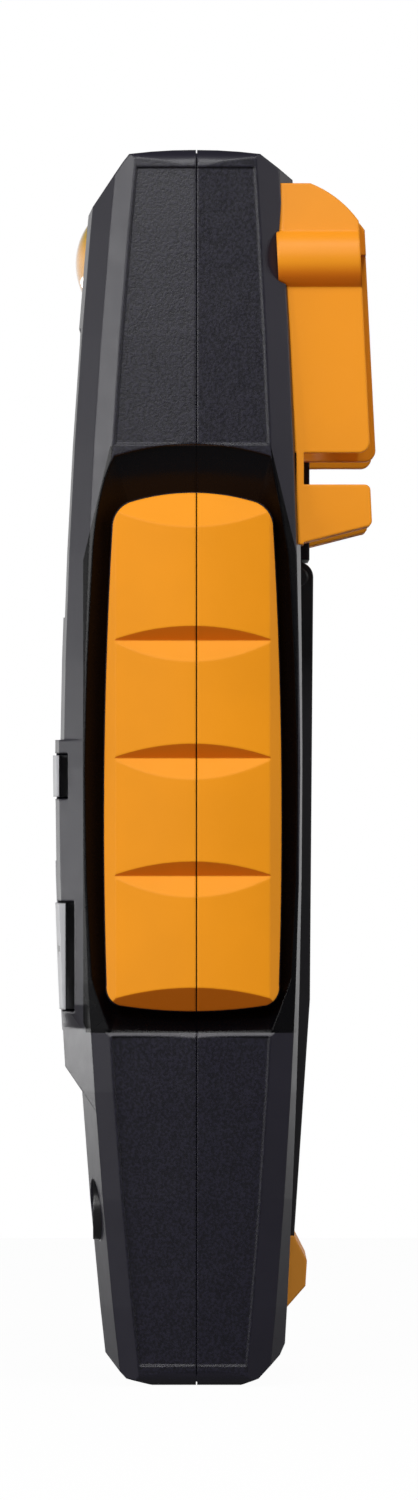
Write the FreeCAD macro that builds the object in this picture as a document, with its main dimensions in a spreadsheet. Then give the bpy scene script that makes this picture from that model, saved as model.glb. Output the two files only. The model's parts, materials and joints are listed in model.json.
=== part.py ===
import FreeCAD, Part
import math
import os
from types import SimpleNamespace

import Sketcher
from FreeCAD import Placement, Rotation, Vector

# A handheld digital multimeter: two moulded housing halves with ribbed side grips, a display, a key
# block, four 4 mm jacks, a battery compartment, a probe holder on the back and a fold-out stand.
# Millimetres. +Z runs along the length, the front faces -Y and the back +Y. The origin is the middle
# of the flat bottom end, on the plane where the two halves part.

SIZES = [
    # housing: overall form
    ("length", 167, "overall length"),
    ("belly_height", 82, "height of the widest and deepest section"),
    ("taper_power", 1.8, "how sharply the form falls away towards the ends"),
    ("side_middle", 40.5, "half width at the belly"),
    ("side_top", 38.5, "half width at the top end"),
    ("side_bottom", 34.8, "half width at the bottom end"),
    ("side_crown", 0.45, "draft of the side towards the parting line"),
    ("front_ridge_middle", 15.3, "depth of the front ridge at the belly"),
    ("front_ridge_top", 10.7, "depth of the front ridge at the top end"),
    ("front_ridge_bottom", 10.2, "depth of the front ridge at the bottom end"),
    ("rear_ridge_middle", 14.0, "depth of the rear ridge at the belly"),
    ("rear_ridge_top", 11.0, "depth of the rear ridge at the top end"),
    ("rear_ridge_bottom", 9.8, "depth of the rear ridge at the bottom end"),
    ("rear_rise_middle", 0.3, "rear face beyond its ridge at the belly"),
    ("rear_rise_end", 1.9, "rear face beyond its ridge at both ends"),
    ("rear_bevel", 4.0, "width of the bevel from the rear ridge to the rear face"),
    ("facet_width", 1.5, "how far the side facets lean in"),
    ("front_facet", 2.5, "depth of the front side facet"),
    ("rear_facet", 3.0, "depth of the rear side facet"),
    ("crown_inset", 11.8, "front ridge to the flat of the front face"),
    ("front_rise", 1.8, "lower front face beyond the ridge"),
    ("deck_rise", 3.2, "upper front face beyond the ridge"),
    ("deck_edge_rise", 2.65, "edge of the upper front beyond the ridge"),
    ("deck_inset", 4.2, "width of the dark facet beside the upper front"),
    ("block_rise", 0.7, "key block beyond the upper front face"),
    ("block_inset", 0.7, "key block edge inside the upper front edge"),
    ("block_bottom", 43.0, "bottom edge of the key block"),
    ("block_top", 87.3, "top edge of the key block"),
    ("foot_top", 51.5, "where the side facet starts to blend out"),
    ("foot_blend", 3.2, "length of that blend"),
    ("step_slope", 1.38, "steepness of the step below the key block"),
    ("end_flat", 6.0, "half depth of the flat bottom end"),
    ("end_lip", 0.9, "height of the small bevel round the bottom flat"),
    ("end_bevel", 2.9, "depth of the large bevel at the bottom end"),
    ("end_corner", 4.0, "height of the corner above that bevel"),
    ("end_front", 12.4, "front corner of the bottom end"),
    ("end_rear", 11.3, "rear corner of the bottom end"),
    ("end_flare", 2.2, "slope of the outline above the bottom corners"),
    ("crown_drop", 0.6, "fall of the top end towards its edges"),
    ("crown_front", 9.1, "front edge of the top end"),
    ("crown_rear", 8.6, "rear edge of the top end"),
    ("top_bevel", 1.0, "small bevel at the front of the top end"),
    ("top_slope_front", 1.44, "slope of the top front bevel"),
    ("top_slope_rear", 0.76, "slope of the top rear bevel"),
    ("corner_radius", 2.4, "corners of the housing seen from the front"),
    ("panel_recess", 0.35, "textured side panels below the facets"),
    ("panel_top_margin", 2.4, "side panel below the top end"),
    ("panel_bottom_margin", 2.7, "side panel above the bottom end"),
    ("parting_gap", 0.16, "width of the groove on the parting line"),
    ("parting_depth", 0.5, "depth of the groove on the parting line"),
    ("wall", 2.3, "housing wall"),
    ("side_wall", 2.0, "housing wall behind the grip"),
    ("fit_gap", 0.1, "clearance round pieces that are fitted and stay"),
    ("run_gap", 0.3, "clearance round pieces that move"),
    ("lip_thick", 0.8, "tongue of the rear half in the front half"),
    ("lip_tall", 1.2, "height of that tongue"),
    ("seal_wire", 0.9, "diameter of the housing seal"),
    # grip and its channel
    ("grip_top", 120.6, "top of the grip"),
    ("grip_bottom", 50.7, "bottom of the grip"),
    ("grip_front", 12.4, "front edge of the grip"),
    ("grip_rear", 11.4, "rear edge of the grip"),
    ("grip_floor", 36.4, "half width at the bottom of the channel"),
    ("grip_height", 42.9, "half width at the crown of the grip"),
    ("grip_shoulder_drop", 1.3, "grip edge below its crown"),
    ("grip_taper", 1.1, "how far each side of the grip draws in at its top"),
    ("grip_flare", 0.3, "how far each side draws in at its bottom"),
    ("grip_round", 0.6, "bow of its round corners"),
    ("grip_shoulder", 3.4, "width of the rounded top corners of the grip"),
    ("grip_shoulder_tall", 4.6, "height of those corners"),
    ("grip_crown_fall", 1.3, "fall of the top edge from its middle to the corners"),
    ("grip_foot_corner", 2.0, "width of the bottom corners of the grip"),
    ("grip_foot_tall", 3.6, "height of those corners"),
    ("grip_foot_rise", 0.8, "rise of the bottom edge from its middle to the corners"),
    ("grip_border", 1.5, "width of the bevelled border of the grip"),
    ("grip_border_drop", 1.5, "drop across that border"),
    ("groove_low", 68.95, "height of the lowest finger groove"),
    ("groove_pitch", 15.87, "spacing of the finger grooves"),
    ("groove_floor", 41.45, "half width at the bottom of a groove"),
    ("groove_upper", 1.35, "run over rise of the upper groove wall"),
    ("groove_lower", 1.95, "run over rise of the lower groove wall"),
    ("channel_front", 15.2, "front edge of the grip channel"),
    ("channel_rear", 13.6, "rear edge of the grip channel"),
    ("scoop_top", 127.2, "top of the scoop above the grip"),
    ("scoop_fall", 1.6, "fall of the top edge of the scoop to its corners"),
    ("scoop_corner_front", 4.1, "front top corner of the scoop"),
    ("scoop_corner_rear", 3.6, "rear top corner of the scoop"),
    ("scoop_waist", 15.6, "height over which the top of the scoop draws in"),
    ("scoop_draw_front", 0.9, "how far its front edge draws in there"),
    ("scoop_draw_rear", 1.1, "how far its rear edge draws in there"),
    ("scoop_bow", 0.7, "bow of the drawn-in front edge"),
    ("scoop_foot_tall", 8.0, "height over which the foot of the scoop draws in"),
    ("scoop_foot_draw", 3.6, "how far the foot draws in"),
    ("scoop_bottom", 47.6, "bottom of the scoop below the grip"),
    ("lip_in", 0.38, "bevelled lip below the grip, measured inwards"),
    ("lip_up", 0.40, "that lip above the bottom of the scoop"),
    ("lip_down", 0.35, "that lip below the bottom of the scoop"),
    # display
    ("display_low", 104.0, "bottom of the display window"),
    ("display_drop", 24.0, "top of the display window below the top end"),
    ("window_wide", 60.0, "width of the display window"),
    ("window_thick", 1.4, "display window"),
    ("window_sink", 0.25, "window below the front face"),
    ("window_ledge", 2.0, "ledge that the window is bonded to"),
    ("lcd_thick", 2.2, "liquid crystal cell"),
    ("light_thick", 1.8, "backlight plate"),
    ("frame_wall", 1.3, "moulded frame round the display cell"),
    ("badge_radius", 5.1, "round badge place"),
    ("badge_rise", 1.5, "height of its dome"),
    ("badge_drop", 13.5, "centre of the badge below the top end"),
    # keys
    ("key_travel", 0.6, "how far a key goes down"),
    ("key_proud", 0.3, "key above the block"),
    ("key_deep", 4.6, "key from front to back"),
    ("small_key_low", 79.6, "bottom of the top row of keys"),
    ("small_key_tall", 5.6, "height of the top row of keys"),
    ("small_key_wide", 15.0, "width of the middle key of the top row"),
    ("side_key_low", 50.8, "bottom of the tall side keys"),
    ("side_key_tall", 14.4, "height of the tall side keys"),
    ("side_key_wide", 12.0, "width of the tall side keys"),
    ("cursor_wide", 13.0, "width of the keys in the middle"),
    ("cursor_tall", 6.4, "height of the keys in the middle"),
    ("cursor_pitch", 8.4, "spacing of the keys in the middle"),
    ("cursor_low", 47.6, "bottom of the lowest middle key"),
    ("mat_thick", 1.4, "base of the silicone key mat"),
    ("dome_half", 2.0, "half width of the plunger under a key"),
    # board and what it carries
    ("board_front", 8.4, "depth of the front of the board"),
    ("board_thick", 1.6, "main board"),
    ("board_low", 7.0, "bottom edge of the board"),
    ("board_drop", 9.0, "top edge of the board below the top end"),
    ("board_gap", 0.8, "board edge to the housing wall"),
    # jacks
    ("jack_pitch", 19.0, "spacing of the jacks"),
    ("jack_height", 23.6, "height of the jacks"),
    ("jack_bore", 2.0, "bore radius of a contact sleeve"),
    ("jack_wall", 0.6, "wall of a contact sleeve"),
    ("jack_length", 16.0, "length of a contact sleeve"),
    ("jack_sink", 3.2, "sleeve below the front face"),
    ("shroud_inner", 3.1, "inner radius of the insulating shroud"),
    ("shroud_outer", 4.0, "outer radius of the insulating shroud"),
    ("shroud_floor", 2.4, "floor that carries the sleeve"),
    # fixings
    ("screw_side", 29.5, "housing screws from the middle"),
    ("screw_low", 38.0, "height of the lower housing screws"),
    ("screw_high", 99.5, "height of the upper housing screws"),
    ("screw_shank", 1.4, "shank radius of a screw"),
    ("screw_head", 2.6, "head radius of a screw"),
    ("screw_head_tall", 1.8, "head height of a screw"),
    ("screw_seat", 10.6, "depth of the seat under the head"),
    ("screw_length", 18.0, "screw under its head"),
    ("boss_wall", 2.0, "wall of a screw boss"),
    # batteries and their door
    ("cell_radius", 5.25, "battery cell"),
    ("cell_length", 44.5, "battery cell"),
    ("cell_nub", 0.8, "positive end of a cell"),
    ("cell_pitch", 11.2, "spacing of the cells"),
    ("cell_low", 33.0, "bottom of the cells"),
    ("cell_depth", 4.7, "depth of the cell centres"),
    ("spring_tall", 2.4, "battery spring, a folded leaf"),
    ("spring_half", 2.6, "half width of a battery spring"),
    ("spring_thick", 0.4, "leaf of a battery spring"),
    ("contact_thick", 0.5, "battery contact plate"),
    ("tray_wall", 1.2, "battery compartment wall"),
    ("tray_gap", 0.5, "play round the cells"),
    ("door_thick", 1.5, "battery door"),
    ("door_ledge", 1.2, "ledge under the battery door"),
    # stand
    ("stand_half", 20.0, "half width of the stand"),
    ("stand_thick", 1.7, "stand plate"),
    ("stand_low", 19.8, "height of the end of the stand plate"),
    ("foot_tall", 11.5, "height of the foot bar"),
    ("foot_heel", 4.1, "lower corner of the foot bar, measured outwards"),
    ("foot_heel_up", 4.7, "height of that corner"),
    ("foot_face", 4.3, "outer face of the foot bar"),
    ("foot_face_up", 8.1, "top of that face"),
    ("foot_lap", 2.0, "foot bar below the end of the plate on its inner side"),
    ("stand_bend", 52.0, "height of the bend in the stand"),
    ("stand_outer_low", 13.3, "outer face of the stand at its end"),
    ("stand_outer_bend", 15.45, "outer face of the stand at the bend"),
    ("stand_outer_high", 15.9, "outer face of the stand at the hinge"),
    ("hinge_height", 109.5, "height of the stand hinge"),
    ("hinge_radius", 2.1, "barrel of the stand hinge"),
    ("pin_radius", 1.3, "hinge stub pins"),
    ("pin_length", 2.6, "hinge stub pins beyond the barrel"),
    ("pin_gap", 0.06, "running clearance of the hinge pins"),
    ("stand_window", 8.0, "half width of the opening in the stand"),
    ("foot_half", 21.0, "half width of the stand foot"),
    # probe holder
    ("holder_drop", 4.5, "top of the holder below the top end"),
    ("holder_bottom", 125.1, "bottom of the holder block"),
    ("holder_outer_top", 22.8, "outer corner of the block"),
    ("holder_outer_bottom", 24.3, "outer face of the block at its bottom"),
    ("holder_round", 1.5, "lower corner of the block"),
    ("holder_bow", 1.4, "bow of its rounded top"),
    ("holder_rim", 0.6, "flat rim of the block at the housing"),
    ("holder_slope", 6.1, "height of the rounded top of the block"),
    ("holder_side", 37.2, "outer side of the holder arms"),
    ("holder_inner", 21.4, "inner side of the holder walls"),
    ("arm_back", 0.9, "arm behind the inner wall"),
    ("arm_short", 1.0, "arm above the end of the inner wall"),
    ("bulge_tall", 7.5, "height of the thumb bulge"),
    ("bulge_drop", 6.5, "thumb bulge below the top of the holder"),
    ("bulge_rise", 2.2, "thumb bulge beyond the arm"),
    ("bulge_step", 0.5, "edge of the bulge beyond the arm"),
    ("arm_draw", 0.7, "how far the arm draws in above the bulge"),
    ("probe_radius", 4.75, "channel for a probe"),
    ("probe_side", 30.2, "probe channel from the middle"),
    ("probe_depth", 19.3, "depth of the probe channel"),
    ("probe_mouth", 4.0, "half width of the channel mouth"),
    ("channel_roof", 9.5, "block above the closed end of a probe channel"),
    ("hook_top", 121.8, "top of the lower hook"),
    ("hook_bottom", 113.7, "bottom of the lower hook at the housing"),
    ("hook_lean", 0.2, "how far the outer end of the hook leans in at its top"),
    ("hook_rise", 2.4, "rise of the underside of the hook"),
    ("hook_round", 0.8, "corners of the hook"),
    ("hook_outer", 23.7, "outer end of the hook"),
    ("saddle_thick", 2.6, "plate that joins both sides of the holder"),
    ("strip_outer", 14.5, "outer face of the strip from block to hook"),
    ("spine_outer", 15.4, "outer face of the spine above the hinge"),
    ("spine_half", 18.0, "half width of that spine"),
    # small parts
    ("small_shank", 1.0, "shank radius of a small screw"),
    ("small_head", 1.9, "head radius of a small screw"),
    ("small_head_tall", 0.9, "head height of a small screw"),
    ("small_length", 6.0, "small screw under its head"),
    ("door_tab", 6.4, "battery door beyond the cells, for its screws"),
    ("door_screw_side", 12.0, "battery door screws from the middle"),
    ("flange_thick", 0.9, "flange of a key that wraps the block"),
    ("large_fuse_radius", 4.6, "high current fuse"),
    ("large_fuse_length", 38.0, "high current fuse"),
    ("fuse_gap", 2.3, "room between the fuses and beside them"),
    ("small_fuse_radius", 3.1, "low current fuse"),
    ("small_fuse_length", 32.0, "low current fuse"),
    ("clip_wide", 5.0, "fuse clip along the fuse"),
    ("clip_thick", 0.6, "sheet of a fuse clip"),
    ("buzzer_radius", 6.5, "sounder"),
    ("buzzer_tall", 4.5, "sounder"),
    ("buzzer_drop", 21.0, "sounder below the top end"),
    ("chip_wide", 14.0, "measuring chip"),
    ("chip_thick", 1.6, "measuring chip"),
    ("crystal_radius", 1.5, "crystal can"),
    ("crystal_length", 8.0, "crystal can"),
    ("resistor_radius", 2.4, "input surge resistor"),
    ("resistor_length", 13.0, "input surge resistor"),
    ("resistor_height", 12.0, "height of the lowest input resistor"),
    ("shunt_thick", 1.2, "current shunt bar"),
    ("shunt_wide", 3.0, "current shunt bar"),
    ("shunt_span", 22.0, "current shunt from leg to leg"),
    ("shunt_rise", 3.4, "current shunt above the board"),
    ("zebra_tall", 3.0, "connector strip under the display"),
]

doc = FreeCAD.newDocument("Multimeter")
sheet = doc.addObject("Spreadsheet::Sheet", "Sizes")
for row, (alias, value, note) in enumerate(SIZES, start=1):
    sheet.set("A%d" % row, note)
    sheet.set("B%d" % row, str(value))
    sheet.setAlias("B%d" % row, alias)
doc.recompute()

# sizes that follow from others
DERIVED = [
    ("display_high", "length - display_drop", "top of the display window"),
    ("badge_height", "length - badge_drop", "height of the badge"),
    ("board_high", "length - board_drop", "top edge of the board"),
    ("buzzer_height", "length - buzzer_drop", "height of the sounder on the board"),
    ("holder_top", "length - holder_drop", "top of the holder at the housing"),
    ("holder_corner", "holder_top - holder_slope", "outer top corner of the holder block"),
    ("bulge_high", "holder_top - bulge_drop", "upper edge of the thumb bulge"),
    ("bulge_low", "bulge_high - bulge_tall", "lower crease of the thumb bulge"),
    ("probe_stop", "holder_top - channel_roof", "closed end of the probe channels"),
    ("tray_high", "cell_low + cell_length + cell_nub + 2 * contact_thick", "top of the battery room"),
    ("large_fuse_height", "tray_high + tray_wall + fuse_gap + clip_thick + large_fuse_radius",
     "height of the high current fuse"),
    ("small_fuse_height",
     "large_fuse_height + large_fuse_radius + 2 * clip_thick + fuse_gap + small_fuse_radius",
     "height of the low current fuse"),
    ("chip_height",
     "(small_fuse_height + small_fuse_radius + buzzer_height - buzzer_radius) / 2",
     "height of the measuring chip, midway between fuse and sounder"),
    ("board_half", "min(side_bottom - wall - board_gap; grip_floor - side_wall - board_gap)",
     "half width of the main board"),
]
for row, (alias, formula, note) in enumerate(DERIVED, start=len(SIZES) + 1):
    sheet.set("A%d" % row, note)
    sheet.set("B%d" % row, "=" + formula)
    sheet.setAlias("B%d" % row, alias)
    doc.recompute()
names = [entry[0] for entry in SIZES + DERIVED]
d = SimpleNamespace(**{name: float(sheet.get(name)) for name in names})

FAR = 60.0          # reach of cutting tools, well outside the housing
LEVELS = 13         # sections along the whole housing
OVERRUN = 4.0       # how far the forms run past both ends before these are trimmed


# ---------------------------------------------------------------- drawing helpers

def at_x(x):
    return lambda p: Vector(x, p[0], p[1])


def at_y(y):
    return lambda p: Vector(p[0], y, p[1])


def at_z(z):
    return lambda p: Vector(p[0], p[1], z)


def outline(points, place):
    """A closed wire. A point with a third entry is the middle of an arc between its neighbours."""
    edges = []
    index = 0
    while index < len(points):
        start = place(points[index])
        following = points[(index + 1) % len(points)]
        if len(following) == 3:
            end = place(points[(index + 2) % len(points)])
            edges.append(Part.Arc(start, place(following), end).toShape())
            index += 2
        else:
            edges.append(Part.makeLine(start, place(following)))
            index += 1
    return Part.Wire(edges)


def prism_x(points, low, high):
    return Part.Face(outline(points, at_x(low))).extrude(Vector(high - low, 0, 0))


def prism_y(points, low, high):
    return Part.Face(outline(points, at_y(low))).extrude(Vector(0, high - low, 0))


def prism_z(points, low, high):
    return Part.Face(outline(points, at_z(low))).extrude(Vector(0, 0, high - low))


def block(x0, x1, y0, y1, z0, z1):
    return Part.makeBox(x1 - x0, y1 - y0, z1 - z0, Vector(x0, y0, z0))


def rod(radius, start, direction, length):
    return Part.makeCylinder(radius, length, Vector(*start), Vector(*direction))


def mirrored(shape):
    return shape.mirror(Vector(0, 0, 0), Vector(1, 0, 0))


def both_sides(shape):
    return [shape, mirrored(shape)]


def levels(low, high, count=LEVELS):
    return [low + (high - low) * i / (count - 1) for i in range(count)]


def stations(low, high):
    """Heights of the sections of a form. All forms share those in between, so their edges meet."""
    shared = levels(-OVERRUN, d.length + OVERRUN) + [d.foot_top - d.foot_blend, d.foot_top, d.block_top]
    return [low] + [z for z in sorted(shared) if low + 1 < z < high - 1] + [high]


def loft(section, heights):
    wires = [outline(section(z), at_z(z)) for z in heights]
    return Part.makeLoft(wires, True, True)


# ---------------------------------------------------------------- the form of the housing

def graded(z, middle, top, bottom):
    """A half width or depth that is largest at the belly and falls away towards both ends."""
    if z >= d.belly_height:
        share = (z - d.belly_height) / (d.length - d.belly_height)
        return middle - (middle - top) * share ** d.taper_power
    share = (d.belly_height - z) / d.belly_height
    return middle - (middle - bottom) * share ** d.taper_power


def side_at(z):
    return graded(z, d.side_middle, d.side_top, d.side_bottom)


def front_ridge(z):
    return graded(z, d.front_ridge_middle, d.front_ridge_top, d.front_ridge_bottom)


def rear_ridge(z):
    return graded(z, d.rear_ridge_middle, d.rear_ridge_top, d.rear_ridge_bottom)


def rear_face(z):
    return rear_ridge(z) + graded(z, d.rear_rise_middle, d.rear_rise_end, d.rear_rise_end)


def lower_front(z):
    return front_ridge(z) + d.front_rise


def deck_front(z):
    return front_ridge(z) + d.deck_rise


def block_front(z):
    return deck_front(z) + d.block_rise


def symmetric(half):
    return half + [(-x, y) for x, y in reversed(half)]


def body_section(z):
    side = side_at(z)
    front = front_ridge(z)
    rear = rear_ridge(z)
    ridge = side - d.facet_width
    return symmetric([
        (ridge - d.crown_inset, -lower_front(z)),
        (ridge, -front),
        (side, d.front_facet - front),
        (side + d.side_crown, 0),
        (side, rear - d.rear_facet),
        (ridge, rear),
        (ridge - d.rear_bevel, rear_face(z)),
    ])


def raised_section(rise, edge_rise, edge_inset):
    """Section of a raised part of the front: flat, shallow facet, then a steep facet to the ridge."""
    def section(z):
        ridge = side_at(z) - d.facet_width
        return symmetric([
            (ridge - d.crown_inset, -front_ridge(z) - rise),
            (ridge - edge_inset, -front_ridge(z) - edge_rise),
            (ridge, -front_ridge(z)),
            (ridge, 0),
        ])
    return section


def side_outline():
    """The housing seen from the side, wide open in the middle: it only shapes the two ends."""
    reach = 2 * d.front_ridge_middle
    low_z = d.end_corner + (reach - d.end_front) * d.end_flare
    low_rear_z = d.end_corner + (reach - d.end_rear) * d.end_flare
    crown_z = d.length - d.crown_drop
    bevel_y = d.crown_front + d.top_bevel * 0.8
    bevel_z = crown_z - d.top_bevel
    return [
        (-d.end_flat, 0), (d.end_flat, 0),
        (d.end_rear - d.end_bevel, d.end_lip), (d.end_rear, d.end_corner),
        (reach, low_rear_z), (reach, crown_z - (reach - d.crown_rear) * d.top_slope_rear),
        (d.crown_rear, crown_z), (0, d.length, "via"), (-d.crown_front, crown_z),
        (-bevel_y, bevel_z), (-reach, bevel_z - (reach - bevel_y) * d.top_slope_front),
        (-reach, low_z), (-d.end_front, d.end_corner), (d.end_bevel - d.end_front, d.end_lip),
    ]


def front_outline():
    """The housing seen from the front, again only for its two rounded ends."""
    radius = d.corner_radius
    diagonal = radius * (1 - math.sqrt(0.5))
    low = d.side_bottom + d.side_crown
    high = d.side_top + d.side_crown
    top = d.length
    return [
        (radius - low, 0), (low - radius, 0), (low - diagonal, diagonal, "via"), (low, radius),
        (FAR, d.belly_height), (high, top - radius), (high - diagonal, top - diagonal, "via"),
        (high - radius, top), (radius - high, top),
        (diagonal - high, top - diagonal, "via"), (-high, top - radius),
        (-FAR, d.belly_height), (-low, radius), (diagonal - low, diagonal, "via"),
    ]


def ends_trimmed(shape, inset=0.0):
    """Keep what lies inside the side and front outlines, drawn in by the inset."""
    for points, place, push in (
        (side_outline(), at_x(-FAR), Vector(2 * FAR, 0, 0)),
        (front_outline(), at_y(-FAR), Vector(0, 2 * FAR, 0)),
    ):
        face = Part.Face(outline(points, place))
        if inset:
            face = face.makeOffset2D(-inset, 2)
        shape = shape.common(face.extrude(push))
    return shape


def step_cutter():
    """Everything below the sloping step at the foot of the key block."""
    top_y = -block_front(d.block_bottom)
    run = 10.0
    return prism_x([
        (top_y - run, d.block_bottom + run * d.step_slope),
        (top_y + run, d.block_bottom - run * d.step_slope),
        (top_y + run, d.block_bottom - 3 * run), (top_y - run, d.block_bottom - 3 * run),
    ], -FAR, FAR)


def bowed(start, end, rise):
    """Middle of an arc from start to end that stands out by rise, to the left of its way."""
    across = end[0] - start[0]
    along = end[1] - start[1]
    span = math.hypot(across, along)
    return ((start[0] + end[0]) / 2 - rise * along / span,
            (start[1] + end[1]) / 2 + rise * across / span, "via")


def grip_outline(grow=0.0):
    """The grip seen from the side: crowned top, bowed sides and round corners."""
    top = d.grip_top + grow
    low = d.grip_bottom - grow
    front = d.grip_front + grow
    rear = d.grip_rear + grow
    head = [(d.grip_shoulder - front, top - d.grip_crown_fall),
            (rear - d.grip_shoulder, top - d.grip_crown_fall)]
    high = top - d.grip_shoulder_tall
    side = [(rear - d.grip_taper, high), (rear - d.grip_flare, low + d.grip_foot_tall)]
    foot = [(rear - d.grip_foot_corner, low + d.grip_foot_rise),
            (d.grip_foot_corner - front, low + d.grip_foot_rise)]
    other = [(d.grip_flare - front, low + d.grip_foot_tall), (d.grip_taper - front, high)]
    middle = (top + low) / 2
    return [
        head[0], (0, top, "via"), head[1], bowed(head[1], side[0], d.grip_round),
        side[0], (rear, middle, "via"), side[1], bowed(side[1], foot[0], d.grip_round),
        foot[0], (0, low, "via"), foot[1], bowed(foot[1], other[0], d.grip_round),
        other[0], (-front, middle, "via"), other[1], bowed(other[1], head[0], d.grip_round),
    ]


def channel_outline():
    """The recess round the grip: its corners match those of the grip one to one."""
    top = d.scoop_top
    low = d.scoop_bottom
    front = d.channel_front
    rear = d.channel_rear
    middle = (top + low) / 2
    head = [(d.scoop_corner_front - front, top - d.scoop_fall),
            (rear - d.scoop_corner_rear, top - d.scoop_fall)]
    waist = top - d.scoop_waist
    foot = low + d.scoop_foot_tall
    last = (d.scoop_draw_front - front, waist)
    return [
        head[0], (0, top, "via"), head[1],
        (rear - d.scoop_draw_rear, waist), (rear, middle, "via"), (rear - d.grip_flare, foot),
        (rear - d.scoop_foot_draw, low), (d.scoop_foot_draw - front, low), (d.grip_flare - front, foot),
        (-front, middle, "via"), last, bowed(last, head[0], d.scoop_bow),
    ]


def grip_channel():
    """Sloping recess round one grip, cut into the +X side."""
    rim = side_at(d.scoop_bottom)
    inner = outline(grip_outline(2 * d.fit_gap), at_x(d.grip_floor))
    outer = outline(channel_outline(), at_x(rim))
    slope = Part.makeLoft([inner, outer], True, True)
    steep = (d.lip_up + d.lip_down) / d.lip_in
    lip = prism_y([
        (rim - d.lip_in, d.scoop_bottom + d.lip_up), (FAR, d.scoop_bottom + d.lip_up),
        (FAR, d.scoop_bottom - d.lip_down - steep * (FAR - rim)),
        (rim, d.scoop_bottom - d.lip_down),
    ], -d.channel_front, d.channel_rear)
    return slope.fuse([prism_x(channel_outline(), rim, FAR), lip])


def panel_band(low, high):
    """A shallow recess over the side panel between its two facets."""
    def section(z):
        side = side_at(z) - d.panel_recess
        front = d.front_facet + d.panel_recess - front_ridge(z)
        rear = rear_ridge(z) - d.rear_facet - d.panel_recess
        return [(side, front), (side + d.side_crown, 0), (side, rear), (FAR, rear), (FAR, front)]
    return loft(section, stations(low, high))


def make_casing():
    """The outer form as one solid, before it is hollowed and parted."""
    body = loft(body_section, stations(-OVERRUN, d.length + OVERRUN))
    deck = loft(raised_section(d.deck_rise, d.deck_edge_rise, d.deck_inset),
                stations(d.foot_top, d.length + OVERRUN))
    steep = raised_section(d.deck_rise + d.block_rise, d.deck_edge_rise + d.block_rise,
                           d.deck_inset + d.block_inset)
    blocks = loft(steep, stations(d.foot_top, d.block_top))
    full = d.deck_rise + d.block_rise
    plain = raised_section(full, full * d.deck_inset / d.crown_inset, d.deck_inset)
    blend_low = d.foot_top - d.foot_blend
    below = [z for z in stations(0, blend_low) if z > d.block_bottom - 5 * full]
    wires = [outline(steep(d.foot_top), at_z(d.foot_top))]
    wires += [outline(plain(z), at_z(z)) for z in reversed(below)]
    foot = Part.makeLoft(wires, True, True).cut(step_cutter())
    casing = ends_trimmed(body.fuse([deck, blocks, foot]))
    for tool in (grip_channel(), panel_band(d.scoop_top, d.length - d.panel_top_margin),
                 panel_band(d.panel_bottom_margin, d.scoop_bottom - d.panel_recess)):
        casing = casing.cut(both_sides(tool))
    return casing


# ---------------------------------------------------------------- the inside of the housing

def cavity_half(z):
    return min(side_at(z) - d.wall, d.grip_floor - d.side_wall)


def make_cavity():
    def section(z):
        half = cavity_half(z)
        front = (lower_front(z) if z < d.foot_top else deck_front(z)) - d.wall
        rear = rear_face(z) - d.wall
        cut = 2 * d.facet_width
        return symmetric([(half - cut, -front), (half, cut - front), (half, rear - cut),
                          (half - cut, rear)])
    below = loft(section, levels(0, d.foot_top - d.fit_gap, 5))
    above = loft(section, levels(d.foot_top, d.length, 8))
    bridge = loft(lambda z: section(d.foot_top - d.fit_gap),
                  (d.foot_top - 2 * d.fit_gap, d.foot_top + 2 * d.fit_gap))
    return ends_trimmed(below.fuse([above, bridge]), d.wall)


def stand_outer(z):
    """Outer face of the closed stand: two straight runs with a bend."""
    if z < d.stand_bend:
        share = (z - d.stand_low) / (d.stand_bend - d.stand_low)
        return d.stand_outer_low + share * (d.stand_outer_bend - d.stand_outer_low)
    share = (z - d.stand_bend) / (d.hinge_height - d.stand_bend)
    return d.stand_outer_bend + share * (d.stand_outer_high - d.stand_outer_bend)


def stand_inner(z):
    return stand_outer(z) - d.stand_thick


hinge_depth = d.stand_outer_high - d.hinge_radius
foot_low_z = d.stand_low - d.foot_tall
foot_inner = rear_ridge(foot_low_z) + 0.2


def stand_pocket():
    """Room in the rear half for the closed stand, its foot and its hinge barrel."""
    gap = d.run_gap
    half = d.stand_half + gap
    plate = prism_x([
        (stand_inner(d.stand_low) - gap, d.stand_low - gap),
        (stand_inner(d.stand_bend) - gap, d.stand_bend),
        (stand_inner(d.hinge_height) - gap, d.hinge_height),
        (FAR, d.hinge_height), (FAR, d.stand_low - gap),
    ], -half, half)
    foot = prism_x([
        (foot_inner - gap, foot_low_z - gap), (FAR, foot_low_z - gap),
        (FAR, d.stand_low + gap), (foot_inner - gap, d.stand_low + gap),
    ], -d.foot_half - gap, d.foot_half + gap)
    barrel = rod(d.hinge_radius + gap, (-half, hinge_depth, d.hinge_height), (1, 0, 0), 2 * half)
    mouth = block(-half, half, hinge_depth, FAR, d.hinge_height - d.hinge_radius,
                  d.hinge_height + d.hinge_radius + gap)
    pin_half = half + d.pin_length
    pins = rod(d.pin_radius + d.pin_gap, (-pin_half, hinge_depth, d.hinge_height), (1, 0, 0),
               2 * pin_half)
    return plate.fuse([foot, barrel, mouth, pins])


tray_half = d.cell_pitch + d.cell_radius + d.tray_gap
tray_low = d.cell_low - d.spring_tall - 2 * d.contact_thick
tray_floor = d.cell_depth - d.cell_radius - d.fit_gap


def tray_outer():
    return block(-tray_half - d.tray_wall, tray_half + d.tray_wall, tray_floor - d.tray_wall,
                 d.rear_ridge_middle, tray_low - d.tray_wall, d.tray_high + d.tray_wall)


def tray_inner():
    return block(-tray_half, tray_half, tray_floor, FAR, tray_low, d.tray_high)


def screw_spots():
    return [(side * d.screw_side, z) for z in (d.screw_low, d.screw_high) for side in (-1, 1)]


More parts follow.
